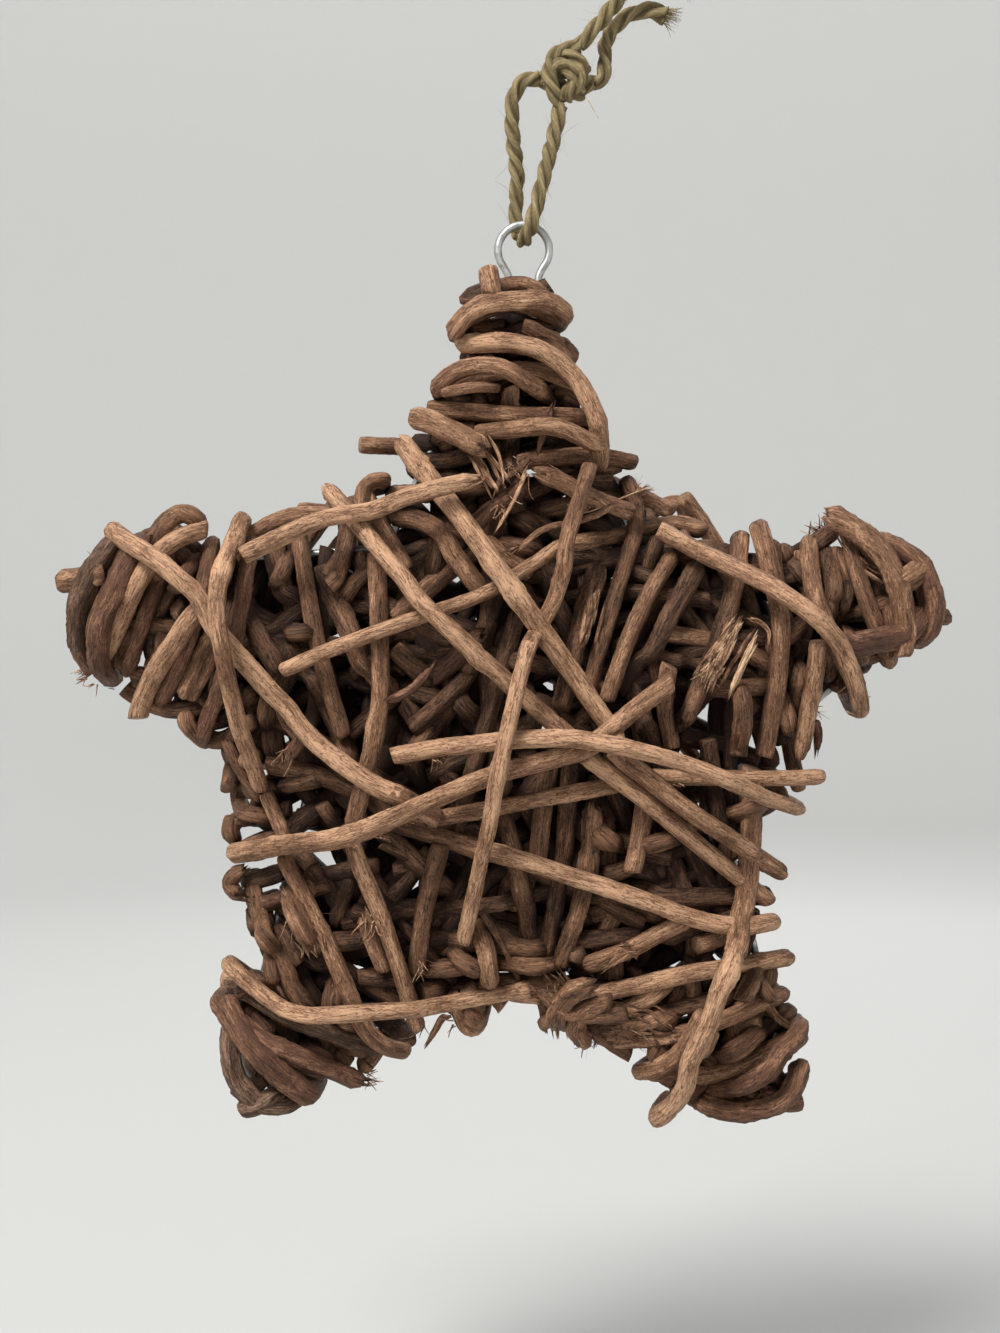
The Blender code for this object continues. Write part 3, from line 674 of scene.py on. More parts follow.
def add_twig(shape, line, radius, look, rng, ends=("cut", "cut"), knots=(), flat=1.0, taper=0.94,
             sides=16, tone_shift=0.0, rough=1.0, spacing=0.0010):
    """Adds a vine twig along a line: ridged bark, a few knots, and ends cut, torn or pointed."""
    slot, tone, surface = LOOKS[look]
    surface *= rough
    line = resample(line, spacing)
    length = arc_lengths(line)
    along, across, beside = normals_along(line)
    theta = round_angles(sides)
    s = length[:, None]
    body = 1 + waves(rng, theta, s, (3, 4, 5, 7), (0.09, 0.07, 0.10, 0.06), 0.060 * surface)
    body += waves(rng, theta, s, (1, 2, 2, 3), (0.012, 0.016, 0.024, 0.009), 0.045 * surface)
    body += waves(rng, 0 * theta, s, (1, 1, 1), (0.030, 0.017, 0.055), 0.035)
    body += 0.05 * np.cos(2 * (theta - rng.uniform(0, 6.3)))
    if rng.random() < GROOVED_SHARE:
        groove = rng.uniform(0, 2 * math.pi) + 0.5 * np.sin(s / 0.03 + rng.uniform(0, 6))
        apart = np.angle(np.exp(1j * (theta - groove)))
        body -= 0.13 * np.exp(-(apart / 0.24) ** 2)
    body += 0.02 * surface * rng.standard_normal(body.shape)
    swellings = [(share, 0.30, 0.0030) for share in knots]
    for _ in range(rng.poisson(length[-1] / BUD_SPACING)):
        swellings.append((rng.uniform(0.06, 0.94), rng.uniform(0.06, 0.17), rng.uniform(0.0013, 0.0026)))
    for share, height, width in swellings:
        near = np.exp(-((s - share * length[-1]) / width) ** 2)
        side = 0.45 + 0.55 * np.cos(theta - rng.uniform(0, 6.3))
        body += height * near * side
        body += 0.5 * height * near * rng.standard_normal(body.shape) * 0.35
    radii = radius * body * (1 - (1 - taper) * (s / length[-1]))
    shift = np.zeros_like(radii)
    for kind, distance, way in ((ends[0], s, -1), (ends[1], length[-1] - s, 1)):
        if kind == "cut":
            slant = rng.uniform(-0.45, 0.45) * np.cos(theta - rng.uniform(0, 6.3))
            shift += way * slant * radius * np.exp(-(distance / 0.0012) ** 2)
            radii *= 1 - 0.10 * np.exp(-(distance / 0.0006) ** 2)
        elif kind == "torn":
            reach = rng.uniform(0.0015, 0.0035)
            ragged = 0.45 + 0.55 * rng.random(theta.shape)
            shrink = np.clip(distance / (reach * ragged), 0, 1) ** 0.7
            radii *= 0.48 + 0.52 * shrink
            shift += way * 0.0013 * rng.standard_normal(theta.shape) * (1 - shrink)
        else:
            radii *= np.clip(distance / (1.2 * radius), 0.02, 1) ** 0.5
    points = rings_round(line, across, beside, radii, theta, flat) + along[:, None, :] * shift[:, :, None]
    tips = [points[0].mean(axis=0) + along[0] * 0.0002, points[-1].mean(axis=0) - along[-1] * 0.0002]
    offset = rng.uniform(-500, 500, 3)
    grain = grain_round(theta, s, radius).reshape(-1, 3)
    grain = np.vstack([grain, [[0, 0, 0], [0, 0, length[-1] * 1000]]]) + offset
    # Lighter where the bark stands out and darker where it sinks in: painted light on ridges and knots,
    # painted shade in furrows and grooves.
    tones = tone + tone_shift + 0.9 * (body - 1) + 0.06 * rng.standard_normal()
    tones = tones + waves(rng, 0 * theta, s, (1, 1), (0.04, 0.02), 0.07)
    # The tone takes the painted shade inside the star.
    tones = np.concatenate([(tones + shade(points)).ravel(), [tone, tone]])
    shape.add_bar(points, tips, slot, [CUT if kind == "cut" else slot for kind in ends], grain, tones)


def add_fibre(shape, start, direction, length, radius, rng, slot, tone, curl, sides=3):
    """Adds a thin hair or strip that starts out one way and curls."""
    count = max(4, int(length / 0.0007))
    step = length / count
    heading = np.array(direction, float)
    heading /= np.linalg.norm(heading)
    bend = rng.standard_normal(3)
    line = [np.array(start, float)]
    for _ in range(count):
        bend = 0.85 * bend + 0.5 * rng.standard_normal(3)
        heading = heading + curl * bend * step / 0.004
        heading /= np.linalg.norm(heading)
        line.append(line[-1] + heading * step)
    line = np.array(line)
    _, across, beside = normals_along(line)
    radii = radius * np.linspace(1.0, 0.35, len(line))[:, None]
    points = rings_round(line, across, beside, radii, round_angles(sides))
    tips = (line[0], line[-1])
    grain = np.vstack([points.reshape(-1, 3), *tips]) * 1000 + rng.uniform(-500, 500, 3)
    tones = np.full(len(grain), tone + 0.1 * rng.standard_normal())
    shape.add_bar(points, tips, slot, (slot, slot), grain, tones)


class Tree:
    """Short ways to add and link a material's nodes."""

    def __init__(self, name, metallic=0.0, roughness=0.6, specular=0.4):
        self.material = bpy.data.materials.new(name)
        self.material.use_nodes = True
        self.nodes = self.material.node_tree.nodes
        self.shader = self.nodes["Principled BSDF"]
        self.feed(self.shader, {"Metallic": metallic, "Roughness": roughness, "Specular IOR Level": specular})

    def feed(self, node, values):
        """Sets or links a node's inputs, by their names or numbers."""
        for key, value in values.items():
            if isinstance(value, bpy.types.NodeSocket):
                self.material.node_tree.links.new(value, node.inputs[key])
            else:
                node.inputs[key].default_value = value
        return node

    def add(self, kind, values):
        return self.feed(self.nodes.new("ShaderNode" + kind), values)

    def attribute(self, name, output):
        node = self.add("Attribute", {})
        node.attribute_name = name
        return node.outputs[output]

    def noise(self, vector, detail, roughness, stretch):
        mapping = self.add("Mapping", {"Vector": vector, "Scale": stretch})
        noise = self.add("TexNoise", {"Vector": mapping.outputs["Vector"], "Scale": 1.0, "Detail": detail,
                                      "Roughness": roughness})
        return noise.outputs["Fac"]

    def math(self, operation, first, second=0.0):
        node = self.add("Math", {0: first, 1: second})
        node.operation = operation
        return node.outputs["Value"]

    def total(self, *parts):
        """The sum of some values, each times its weight."""
        weighted = [self.math("MULTIPLY", value, weight) for value, weight in parts]
        while len(weighted) > 1:
            weighted[:2] = [self.math("ADD", *weighted[:2])]
        return weighted[0]

    def spread(self, value, low, high, to_low=0.0, to_high=1.0):
        node = self.add("MapRange", {"Value": value, "From Min": low, "From Max": high, "To Min": to_low,
                                     "To Max": to_high})
        return node.outputs["Result"]

    def ramp(self, value, stops):
        node = self.add("ValToRGB", {"Fac": value})
        ramp = node.color_ramp
        while len(ramp.elements) < len(stops):
            ramp.elements.new(0.5)
        for element, (place, colour) in zip(ramp.elements, stops):
            element.position = place
            element.color = (*colour, 1.0)
        return node.outputs["Color"]

    def bump(self, height, strength, distance):
        node = self.add("Bump", {"Height": height, "Strength": strength, "Distance": distance})
        self.feed(self.shader, {"Normal": node.outputs["Normal"]})


def bark_material(name, dark, mid, light, gloss=(0.50, 0.82), streaks=0.38, bump=0.9):
    """Vine bark: long fine streaks, blotches, specks and creases over a colour that the tone shifts."""
    tree = Tree(name, specular=0.25)
    grain = tree.attribute("grain", "Vector")
    tone = tree.attribute("tone", "Fac")
    streak = tree.noise(grain, 5.0, 0.68, (2.1, 2.1, 0.22))
    blotch = tree.noise(grain, 3.0, 0.55, (0.30, 0.30, 0.11))
    speck = tree.noise(grain, 3.0, 0.7, (4.5, 4.5, 1.3))
    crease = tree.noise(grain, 2.0, 0.5, (0.95, 0.95, 0.17))
    crease = tree.spread(tree.math("ABSOLUTE", tree.math("SUBTRACT", crease, 0.5)), 0.0, 0.022, 1.0, 0.0)
    value = tree.total((tree.spread(streak, 0.36, 0.64), streaks), (tree.spread(blotch, 0.34, 0.66), 0.35),
                       (tree.spread(speck, 0.36, 0.64), 0.38), (crease, -0.42), (tone, 1.1))
    stops = [(0.0, dark), (0.36, tuple(0.45 * d + 0.55 * m for d, m in zip(dark, mid))), (0.58, mid),
             (0.86, light), (1.0, tuple(1.18 * part for part in light))]
    tree.feed(tree.shader, {"Base Color": tree.ramp(tree.spread(value, 0.35, 1.65), stops),
                            "Roughness": tree.spread(streak, 0.3, 0.7, gloss[1], gloss[0])})
    tree.bump(tree.total((streak, 1.0), (speck, 0.5), (crease, -0.45)), bump, 0.0004)
    return tree.material


def wire_material():
    """Dull zinc with fine scratches and darker stains."""
    tree = Tree("galvanised_wire", metallic=0.85, roughness=0.42, specular=0.5)
    grain = tree.attribute("grain", "Vector")
    stain = tree.noise(grain, 4.0, 0.6, (0.5, 0.5, 0.3))
    scratch = tree.noise(grain, 3.0, 0.6, (3.0, 3.0, 0.5))
    stops = [(0.30, (0.20, 0.20, 0.19)), (0.48, (0.45, 0.46, 0.45)), (0.75, (0.62, 0.63, 0.62))]
    tree.feed(tree.shader, {"Base Color": tree.ramp(stain, stops),
                            "Roughness": tree.spread(scratch, 0.3, 0.7, 0.30, 0.58)})
    tree.bump(scratch, 0.3, 0.0001)
    return tree.material


def jute_material():
    """Jute fibres along each ply, olive and tan with straw coloured ones."""
    tree = Tree("jute_twine", roughness=0.78, specular=0.25)
    grain = tree.attribute("grain", "Vector")
    tone = tree.attribute("tone", "Fac")
    fibre = tree.noise(grain, 4.0, 0.6, (6.5, 6.5, 0.45))
    lock = tree.noise(grain, 3.0, 0.6, (1.2, 1.2, 0.14))
    value = tree.total((tree.spread(fibre, 0.3, 0.7), 0.55), (tree.spread(lock, 0.3, 0.7), 0.45), (tone, 1.1))
    stops = [(0.0, (0.055, 0.040, 0.018)), (0.35, (0.185, 0.140, 0.068)), (0.62, (0.360, 0.285, 0.150)),
             (0.85, (0.560, 0.470, 0.290)), (1.0, (0.74, 0.66, 0.46))]
    tree.feed(tree.shader, {"Base Color": tree.ramp(tree.spread(value, 0.35, 1.75), stops)})
    tree.bump(fibre, 0.8, 0.0003)
    return tree.material


def floor_material():
    tree = Tree("pale_floor", roughness=0.85, specular=0.2)
    tree.feed(tree.shader, {"Base Color": FLOOR_COLOUR})
    return tree.material


def bark_materials():
    """Vine bark, weathered bark, red bark, torn wood and the wood of a cut end, in slot order."""
    return [
        bark_material("vine_bark", (0.024, 0.010, 0.005), (0.215, 0.108, 0.059), (0.490, 0.290, 0.174)),
        bark_material("weathered_bark", (0.022, 0.010, 0.006), (0.110, 0.060, 0.037),
                      (0.280, 0.175, 0.115), streaks=0.50, bump=1.0),
        bark_material("red_bark", (0.030, 0.013, 0.008), (0.140, 0.066, 0.038), (0.330, 0.175, 0.105)),
        bark_material("torn_wood", (0.110, 0.050, 0.024), (0.400, 0.225, 0.125), (0.640, 0.420, 0.265),
                      streaks=0.60, bump=1.0),
        bark_material("cut_wood", (0.060, 0.030, 0.018), (0.230, 0.128, 0.075), (0.430, 0.268, 0.165),
                      bump=0.5),
    ]


def add_camera():
    data = bpy.data.cameras.new("camera")
    data.sensor_width = SENSOR
    data.lens = SENSOR * SEEN_FROM / SEEN_HEIGHT
    data.clip_start = 0.01
    camera = link_object("camera", data)
    camera.location = (STAR[0] + SEEN_CENTRE[0], STAR[1] - SEEN_FROM, STAR[2] + SEEN_CENTRE[1])
    camera.rotation_euler = (math.pi / 2, 0, 0)
    bpy.context.scene.camera = camera


def add_light(name, target, place, size, energy, colour):
    data = bpy.data.lights.new(name, "AREA")
    data.shape = "DISK"
    data.size = size
    data.energy = energy
    data.color = colour
    lamp = link_object(name, data)
    lamp.location = place
    towards = Vector(target) - Vector(place)
    lamp.rotation_euler = towards.to_track_quat("-Z", "Y").to_euler()


def add_floor():
    """A pale floor whose far rim curves up all round, so that it has no edge in view."""
    profile = [(reach, 0.0) for reach in (0.02, 0.3, 0.7, FLOOR_REACH)]
    for step in range(1, 13):
        turn = step * math.pi / 24
        profile.append((FLOOR_REACH + RIM_BEND * math.sin(turn), RIM_BEND - RIM_BEND * math.cos(turn)))
    profile.append((FLOOR_REACH + RIM_BEND, RIM_HEIGHT))
    points = []
    for reach, height in profile:
        for side in range(FLOOR_SIDES):
            turn = 2 * math.pi * side / FLOOR_SIDES
            points.append((reach * math.cos(turn), reach * math.sin(turn), FLOOR_HEIGHT + height))
    faces = ring_faces(len(profile), FLOOR_SIDES)
    faces.append(list(range(FLOOR_SIDES))[::-1])
    mesh = bpy.data.meshes.new("floor")
    mesh.from_pydata(points, [], faces)
    mesh.materials.append(floor_material())
    mesh.shade_smooth()
    link_object("floor", mesh)


def add_stage():
    add_camera()
    add_floor()
    for light in LIGHTS:
        add_light(*light)
    world = bpy.data.worlds.new("studio")
    world.use_nodes = True
    background = world.node_tree.nodes["Background"]
    background.inputs["Color"].default_value = SKY_COLOUR
    background.inputs["Strength"].default_value = SKY_STRENGTH
    bpy.context.scene.world = world
    bpy.context.scene.view_settings.view_transform = "Standard"


def rope_profile(theta, turn):
    """How far three plies reach out from the twine's middle, and which ply that is."""
    best = np.zeros(np.broadcast(theta, turn).shape)
    which = np.zeros(best.shape)
    for ply in range(3):
        apart = theta - turn - 2 * math.pi * ply / 3
        inside = PLY_SHARE ** 2 - (PLY_SHARE * np.sin(apart)) ** 2
        reach = np.where(inside > 0, PLY_SHARE * np.cos(apart) + np.sqrt(np.clip(inside, 0, None)), 0)
        which = np.where(reach > best, ply, which)
        best = np.maximum(best, reach)
    return best, which


def add_rope(shape, line, radius, rng, frayed=False, sides=40):
    """Adds a twisted three-ply twine along a line."""
    line = resample(line, 0.00035)
    length = arc_lengths(line)
    _, across, beside = normals_along(line)
    theta = round_angles(sides)
    s = length[:, None]
    turn = -2 * math.pi * s / TWINE_PITCH + rng.uniform(0, 6.3) + 0.25 * np.sin(s / 0.004)
    reach, which = rope_profile(theta, turn)
    local = theta - turn
    body = reach * (1 + waves(rng, 9 * local, s, (1, 2, 3), (0.02, 0.03, 0.02), 0.035))
    body *= 1 + waves(rng, 0 * theta, s, (1, 1, 1), (0.006, 0.011, 0.004), 0.045)
    body += 0.018 * rng.standard_normal(body.shape)
    if frayed:
        loose = np.exp(-((length[-1] - s) / FRAYED_REACH) ** 2)
        body *= 1 + 0.22 * loose + 0.10 * loose * rng.standard_normal(theta.shape)
    points = rings_round(line, across, beside, radius * body, theta)
    grain = grain_round(local, s, radius)
    grain[:, :, :2] += PLY_GRAIN * which[:, :, None]
    grain = grain.reshape(-1, 3)
    grain = np.vstack([grain, grain[:1], grain[-1:]]) + rng.uniform(-500, 500, 3)
    # Darker where the plies meet and lighter on their crowns: painted shade between the plies.
    tones = 0.12 + 0.85 * (reach - 0.62) + 0.04 * rng.standard_normal(body.shape)
    tones = np.concatenate([tones.ravel(), [0.3, 0.3]])
    shape.add_bar(points, (line[0], line[-1]), 0, (0, 0), grain, tones)


def add_hairs(shape, line, radius, rng, per_metre):
    """Adds fine hairs that stand out of a twine."""
    line = resample(line, 0.0003)
    along, across, beside = normals_along(line)
    for _ in range(int(per_metre * arc_lengths(line)[-1])):
        place = rng.integers(2, len(line) - 2)
        angle = rng.uniform(0, 2 * math.pi)
        out = across[place] * math.cos(angle) + beside[place] * math.sin(angle)
        way = out * rng.uniform(0.25, 0.9) + along[place] * rng.choice([-1, 1]) * rng.uniform(0.5, 1.2)
        length = rng.uniform(0.0012, 0.0034) if rng.random() < 0.86 else rng.uniform(0.004, 0.0075)
        add_fibre(shape, line[place] + 0.72 * radius * out, way, length, rng.uniform(0.00003, 0.00006),
                  rng, 0, rng.uniform(0.3, 0.75), 0.5)


def make_twine(jute):
    """The knotted loop and its two loose tails, with their fuzz."""
    rng = rng_for("twine")
    knot = Shape()
    fuzz = Shape()
    for _, _, turn in read_rows(KNOT_TURNS):
        line = smooth_curve(np.array(turn) * MM + KNOT_CENTRE, 12 * len(turn))
        add_rope(knot, line, KNOT_STRAND_RADIUS, rng)
        add_hairs(fuzz, line, 0.0021, rng, KNOT_HAIRS_PER_METRE)
    knot = knot.finish("jute_knot", [jute], "jute_twine", "twine_knot")
    add_fibre(fuzz, STRAW, (0.55, -0.1, -1.0), 0.0062, 0.00016, rng, 0, 0.95, 0.15, 4)
    knot_fuzz = fuzz.finish("jute_knot_fuzz", [jute], "jute_twine")
    for (name,), _, places in read_rows(TWINE_ROUTES):
        is_loop = name == "twine_loop"
        places = np.round(np.array(places) * MM, 6).tolist()
        route = smooth_curve(places, 2 * len(places) - 1)
        line = smooth_curve(route, 8 * len(route))
        shape = Shape()
        add_rope(shape, line, TWINE_DIAMETER / 2, rng, not is_loop)
        piece_name = name.replace("twine", "jute")
        rope = shape.finish(piece_name, [jute], "jute_twine", name)
        fuzz = Shape()
        add_hairs(fuzz, line, TWINE_DIAMETER / 2, rng, HAIRS_PER_METRE)
        if not is_loop:
            heading = line[-1] - line[-4]
            heading /= np.linalg.norm(heading)
            for _ in range(FRAYED_FIBRES):
                off = rng.standard_normal(3)
                off -= heading * np.dot(off, heading)
                off *= 0.0016 * math.sqrt(rng.random()) / np.linalg.norm(off)
                add_fibre(fuzz, line[-1] + off - heading * 0.0008, heading + 260 * off,
                          rng.uniform(0.0015, 0.0050), rng.uniform(0.00005, 0.00013), rng, 0,
                          rng.uniform(0.3, 0.7), 0.5)
        goes_with = [fuzz.finish(piece_name + "_fuzz", [jute], "jute_twine")]
        if is_loop:
            goes_with += [knot, knot_fuzz]


def arc(centre, radius, start, end, count):
    """Points on a circle in the star's plane, angles counted from +Z towards +X."""
    return [(centre[0] + radius * math.sin(angle), centre[1] + radius * math.cos(angle))
            for angle in np.linspace(start, end, count)]


def turn_in_plane(points, angle):
    cosine, sine = math.cos(angle), math.sin(angle)
    return [(x * cosine + z * sine, z * cosine - x * sine) for x, z in points]


def wire_line():
    """The wire star's closed line, with the eye standing out of the top arm."""
    open_angle = math.pi - EYE_OPENING
    places = arc(EYE, EYE_RADIUS, -open_angle, open_angle, 43)
    places += [(EYE[0] + EYE_NECK[0], EYE_NECK[1]), WIRE_SHOULDER]
    notch = arc((0, 0), WIRE_NOTCH, ARM_ANGLE / 2 - 0.03, ARM_ANGLE / 2 + 0.03, 2)
    tip = arc((0, WIRE_REACH - WIRE_END_RADIUS), WIRE_END_RADIUS, -math.pi / 2, math.pi / 2, 17)
    for arm in range(5):
        places += turn_in_plane(notch, arm * ARM_ANGLE)
        if arm < 4:
            places += turn_in_plane(tip, (arm + 1) * ARM_ANGLE)
    places += [(-WIRE_SHOULDER[0], WIRE_SHOULDER[1]), (EYE[0] - EYE_NECK[0], EYE_NECK[1]), places[0]]
    line = resample(np.array([(x, 0.0, z) for x, z in places]) + STAR, 0.0005)[:-1]
    return sum(np.roll(line, shift, axis=0) for shift in range(-3, 4)) / 7


def make_wire(zinc):
    rng = rng_for("wire")
    line = wire_line()
    along = np.roll(line, -1, axis=0) - np.roll(line, 1, axis=0)
    along /= np.linalg.norm(along, axis=1, keepdims=True)
    across = np.tile([[0.0, 1.0, 0.0]], (len(line), 1))
    s = arc_lengths(line)[:, None]
    theta = round_angles(WIRE_SIDES)
    radii = WIRE_DIAMETER / 2 * (1 + 0.012 * rng.standard_normal((len(line), WIRE_SIDES)))
    points = rings_round(line, across, np.cross(along, across), radii, theta).reshape(-1, 3)
    faces = [face[::-1] for face in ring_faces(len(line), WIRE_SIDES, closed=True)]
    grain = grain_round(theta, s, WIRE_DIAMETER / 2).reshape(-1, 3)
    shape = Shape()
    shape.add(points, faces, [0] * len(faces), grain, np.full(len(points), 0.5))
    shape.finish("bent_wire", [zinc], "galvanised_wire", "wire_frame")


def spine(name):
    """A plain bar's centreline and mean radius, ring by ring from one of its caps. Each ring is taken
    in the order of its points' numbers, so that every run gives the same sums."""
    mesh = bmesh.new()
    mesh.from_mesh(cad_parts[name].data)
    bmesh.ops.remove_doubles(mesh, verts=mesh.verts, dist=1e-5)
    bmesh.ops.dissolve_limit(mesh, angle_limit=math.radians(0.6), verts=[], edges=mesh.edges)
    mesh.verts.index_update()
    sides = 6
    caps = []
    for face in mesh.faces:
        middle = face.calc_center_median()
        reaches = [(corner.co - middle).length for corner in face.verts]
        if len(face.verts) == sides and max(reaches) < 1.03 * min(reaches) and max(reaches) < 0.0045:
            caps.append(face)
    ring = set(caps[0].verts)
    seen = set(ring)
    places, radii = [], []
    while ring:
        ring = sorted(ring, key=lambda corner: corner.index)
        if len(ring) != sides:
            raise ValueError(f"{name}: a ring of {len(ring)} points")
        middle = sum((corner.co for corner in ring), Vector()) / sides
        places.append(np.array(middle))
        radii.append(np.mean([(corner.co - middle).length for corner in ring]))
        ring = {edge.other_vert(corner) for corner in ring for edge in corner.link_edges} - seen
        seen |= ring
    mesh.free()
    if radii[0] < radii[-1]:
        places = places[::-1]
        radii = radii[::-1]
    return np.array(places), float(np.mean(radii))


def outward(points):
    """Unit directions away from the star's inside, at points given from its centre."""
    step = 0.0005
    x, y, z = points.T
    margin = star_margin(x, z)
    slope_x = (margin - star_margin(x + step, z)) / step
    slope_z = (margin - star_margin(x, z + step)) / step
    depth = np.maximum(shell_depth(margin), 0.002)
    steepness = np.clip((depth - shell_depth(margin - step)) / step, 0, 0.8)
    share = np.clip(np.abs(y) / depth, 0, 1)
    sideways = steepness + 3 * (1 - share)
    direction = np.stack([slope_x * sideways, np.sign(y) * share, slope_z * sideways], axis=1)
    return direction / np.maximum(np.linalg.norm(direction, axis=1, keepdims=True), 1e-9)


def from_view(x, z, depth):
    """Places at some depths that are seen at x and z in the front view, from the star's centre."""
    nearness = 1 + depth / SEEN_FROM
    x = SEEN_CENTRE[0] + (x - SEEN_CENTRE[0]) * nearness
    z = SEEN_CENTRE[1] + (z - SEEN_CENTRE[1]) * nearness
    return np.stack([x, depth, z], axis=1)


def behind_end(band, kind):
    """The way back behind the arm from a band's last place, as far as its kind of end goes."""
    if kind not in ("hook", "wrap"):
        return np.empty((0, 2))
    back = band[::-1]
    lengths = arc_lengths(back)
    reach = WRAP_SHARE * lengths[-1]
    if kind == "hook":
        reach = min(HOOK, reach)
    steps = np.arange(MM, reach, MM)
    return np.stack([np.interp(steps, lengths, column) for column in back.T], axis=1)


def twig_route(start_kind, end_kind, places, shell, side=-1):
    """A twig's line from the star's centre, before it is laid among the others."""
    band = resample(smooth_curve(np.array(places, float) * MM, 20 * len(places)), MM)
    before = behind_end(band[::-1], start_kind)[::-1]
    after = behind_end(band, end_kind)
    x, z = np.vstack([before, band, after]).T
    sides = np.repeat([-side, side, -side], [len(before), len(band), len(after)])
    depth = sides * shell * shell_depth(star_margin(x, z))
    route = round_bends(resample(from_view(x, z, depth), MM), 0.0045)
    return np.round(resample(route, LAID_SPACING), LAID_DIGITS)


class Pile:
    """The twigs laid so far, as short straight stretches with a radius each."""

    def __init__(self):
        self.starts = np.empty((0, 3))
        self.ends = np.empty((0, 3))
        self.radii = np.empty(0)

    def add(self, points, radius):
        self.starts = np.vstack([self.starts, points[:-1]])
        self.ends = np.vstack([self.ends, points[1:]])
        self.radii = np.concatenate([self.radii, np.full(len(points) - 1, radius)])

    def near(self, points, reach=0.016):
        above_low = np.maximum(self.starts, self.ends) > points.min(axis=0) - reach
        below_high = np.minimum(self.starts, self.ends) < points.max(axis=0) + reach
        inside = np.all(above_low & below_high, axis=1)
        return self.starts[inside], self.ends[inside], self.radii[inside]


def closest(samples, starts, ends, radii):
    """The distance from each sample to the surface of the stretch that crowds it most."""
    along = ends - starts
    offset = samples[:, None, :] - starts[None, :, :]
    lengths_squared = np.maximum(np.einsum("jk,jk->j", along, along), 1e-12)
    share = np.einsum("ijk,jk->ij", offset, along) / lengths_squared
    away = offset - np.clip(share, 0, 1)[:, :, None] * along[None, :, :]
    distance = np.linalg.norm(away, axis=2) - radii[None, :]
    pick = np.argmin(distance, axis=1)
    rows = np.arange(len(samples))
    direction = away[rows, pick]
    direction /= np.maximum(np.linalg.norm(direction, axis=1, keepdims=True), 1e-6)
    return direction, distance[rows, pick]


def lay(route, radius, pile, way, most):
    """Eases a twig off those laid before, out over them (1) or in under them (-1), and hardly
    aside, so that it stays where it is seen."""
    starts, ends, radii = pile.near(route)
    if len(radii) == 0:
        return route
    lengths = arc_lengths(route)
    bend = np.clip(1 - (np.subtract.outer(lengths, lengths) / EASING_REACH) ** 2, 0, 1) ** 2
    first = route.copy()
    for _ in range(EASING_STEPS):
        direction, distance = closest(route, starts, ends, radii)
        overlap = np.clip(0.92 * radius - distance, 0, None)
        if overlap.max() < 0.00005:
            break
        push = (way * outward(route) + 0.45 * direction) * overlap[:, None]
        size = np.linalg.norm(push, axis=1)
        leader = np.argmax(bend * size[None, :], axis=1)
        route = route + 0.7 * push[leader] * bend[np.arange(len(route)), leader][:, None]
        moved = route - first
        aside = np.linalg.norm(moved[:, ::2], axis=1, keepdims=True)
        moved[:, ::2] *= np.minimum(1, MOST_ASIDE / np.maximum(aside, 1e-9))
        moved[:, 1] = np.clip(moved[:, 1], -most, most)
        route = np.round(first + moved, LAID_DIGITS)
    return route


def settle(route, radius, pile):
    """Moves a twig that touches nothing up to the nearest one."""
    for _ in range(4):
        starts, ends, radii = pile.near(route)
        if len(radii) == 0:
            return route
        direction, distance = closest(route, starts, ends, radii)
        nearest = np.argmin(distance)
        slack = distance[nearest] - radius
        if slack < 0.0002:
            return route
        step = direction[nearest] * min(slack, 0.006) * [0.5, 1.0, 0.5]
        route = np.round(route - step, LAID_DIGITS)
    return route


def flat_strip(shape, places, width, flat, shell, look, rng, pile):
    """Adds a torn strip of bark or wood that lies on the twigs and lifts at its ends."""
    route = twig_route("cut", "cut", places, shell)
    lift = np.abs(np.linspace(-1, 1, len(route)))[:, None] ** 3 * 0.0012
    route = route + outward(route) * (lift + 0.0006 * rng.standard_normal((len(route), 1)))
    route = settle(route, 0.0008, pile)
    line = smooth_curve(route, 6 * len(route)) + STAR
    add_twig(shape, line, width * MM / 2, look, rng, ("torn", "torn"), (), flat, 0.7, 10, 0.06, 1.6, 0.0006)


def splinter(shape, start, end, width, look, rng, pile):
    """Adds one narrow splinter of a patch, a little askew."""
    start, end = np.array([start, end])
    along = end - start
    side = np.array([along[1], -along[0]]) / np.linalg.norm(along)
    first, last = sorted(rng.uniform(0, 1, 2))
    last = min(1, last + 0.35)
    offset = side * width * rng.uniform(-0.5, 0.5)
    askew = side * width * 0.18 * rng.standard_normal()
    places = [start + along * share + offset + askew * share for share in (first, (first + last) / 2, last)]
    look = look if rng.random() < 0.7 else "bark"
    flat_strip(shape, places, rng.uniform(0.6, 1.7), 0.45, rng.uniform(0.98, 1.06), look, rng, pile)


def tuft(shape, place, spread, count, length, way, rng, pile):
    """Adds a bundle of fine fibres at a place on the star's front."""
    for _ in range(count):
        x, z = np.array(place) + spread * rng.standard_normal(2) * 0.5
        route = twig_route("cut", "cut", [(x, z), (x + 0.5, z + 0.5)], 1.0)
        spot = route[:1]
        heading = np.array([way[0], rng.uniform(-0.9, 0.3), way[1]]) + 0.45 * rng.standard_normal(3)
        starts, ends, radii = pile.near(spot, 0.006)
        if len(radii):
            direction, distance = closest(spot, starts, ends, radii)
            spot = spot - direction * np.clip(distance, -0.002, 0.004)[:, None]
        add_fibre(shape, spot[0] + STAR, heading, length * MM * rng.uniform(0.4, 1.1),
                  rng.uniform(0.00006, 0.00028), rng, rng.choice([0, 0, 1, 3]), rng.uniform(0.3, 0.8),
                  0.45, 4)


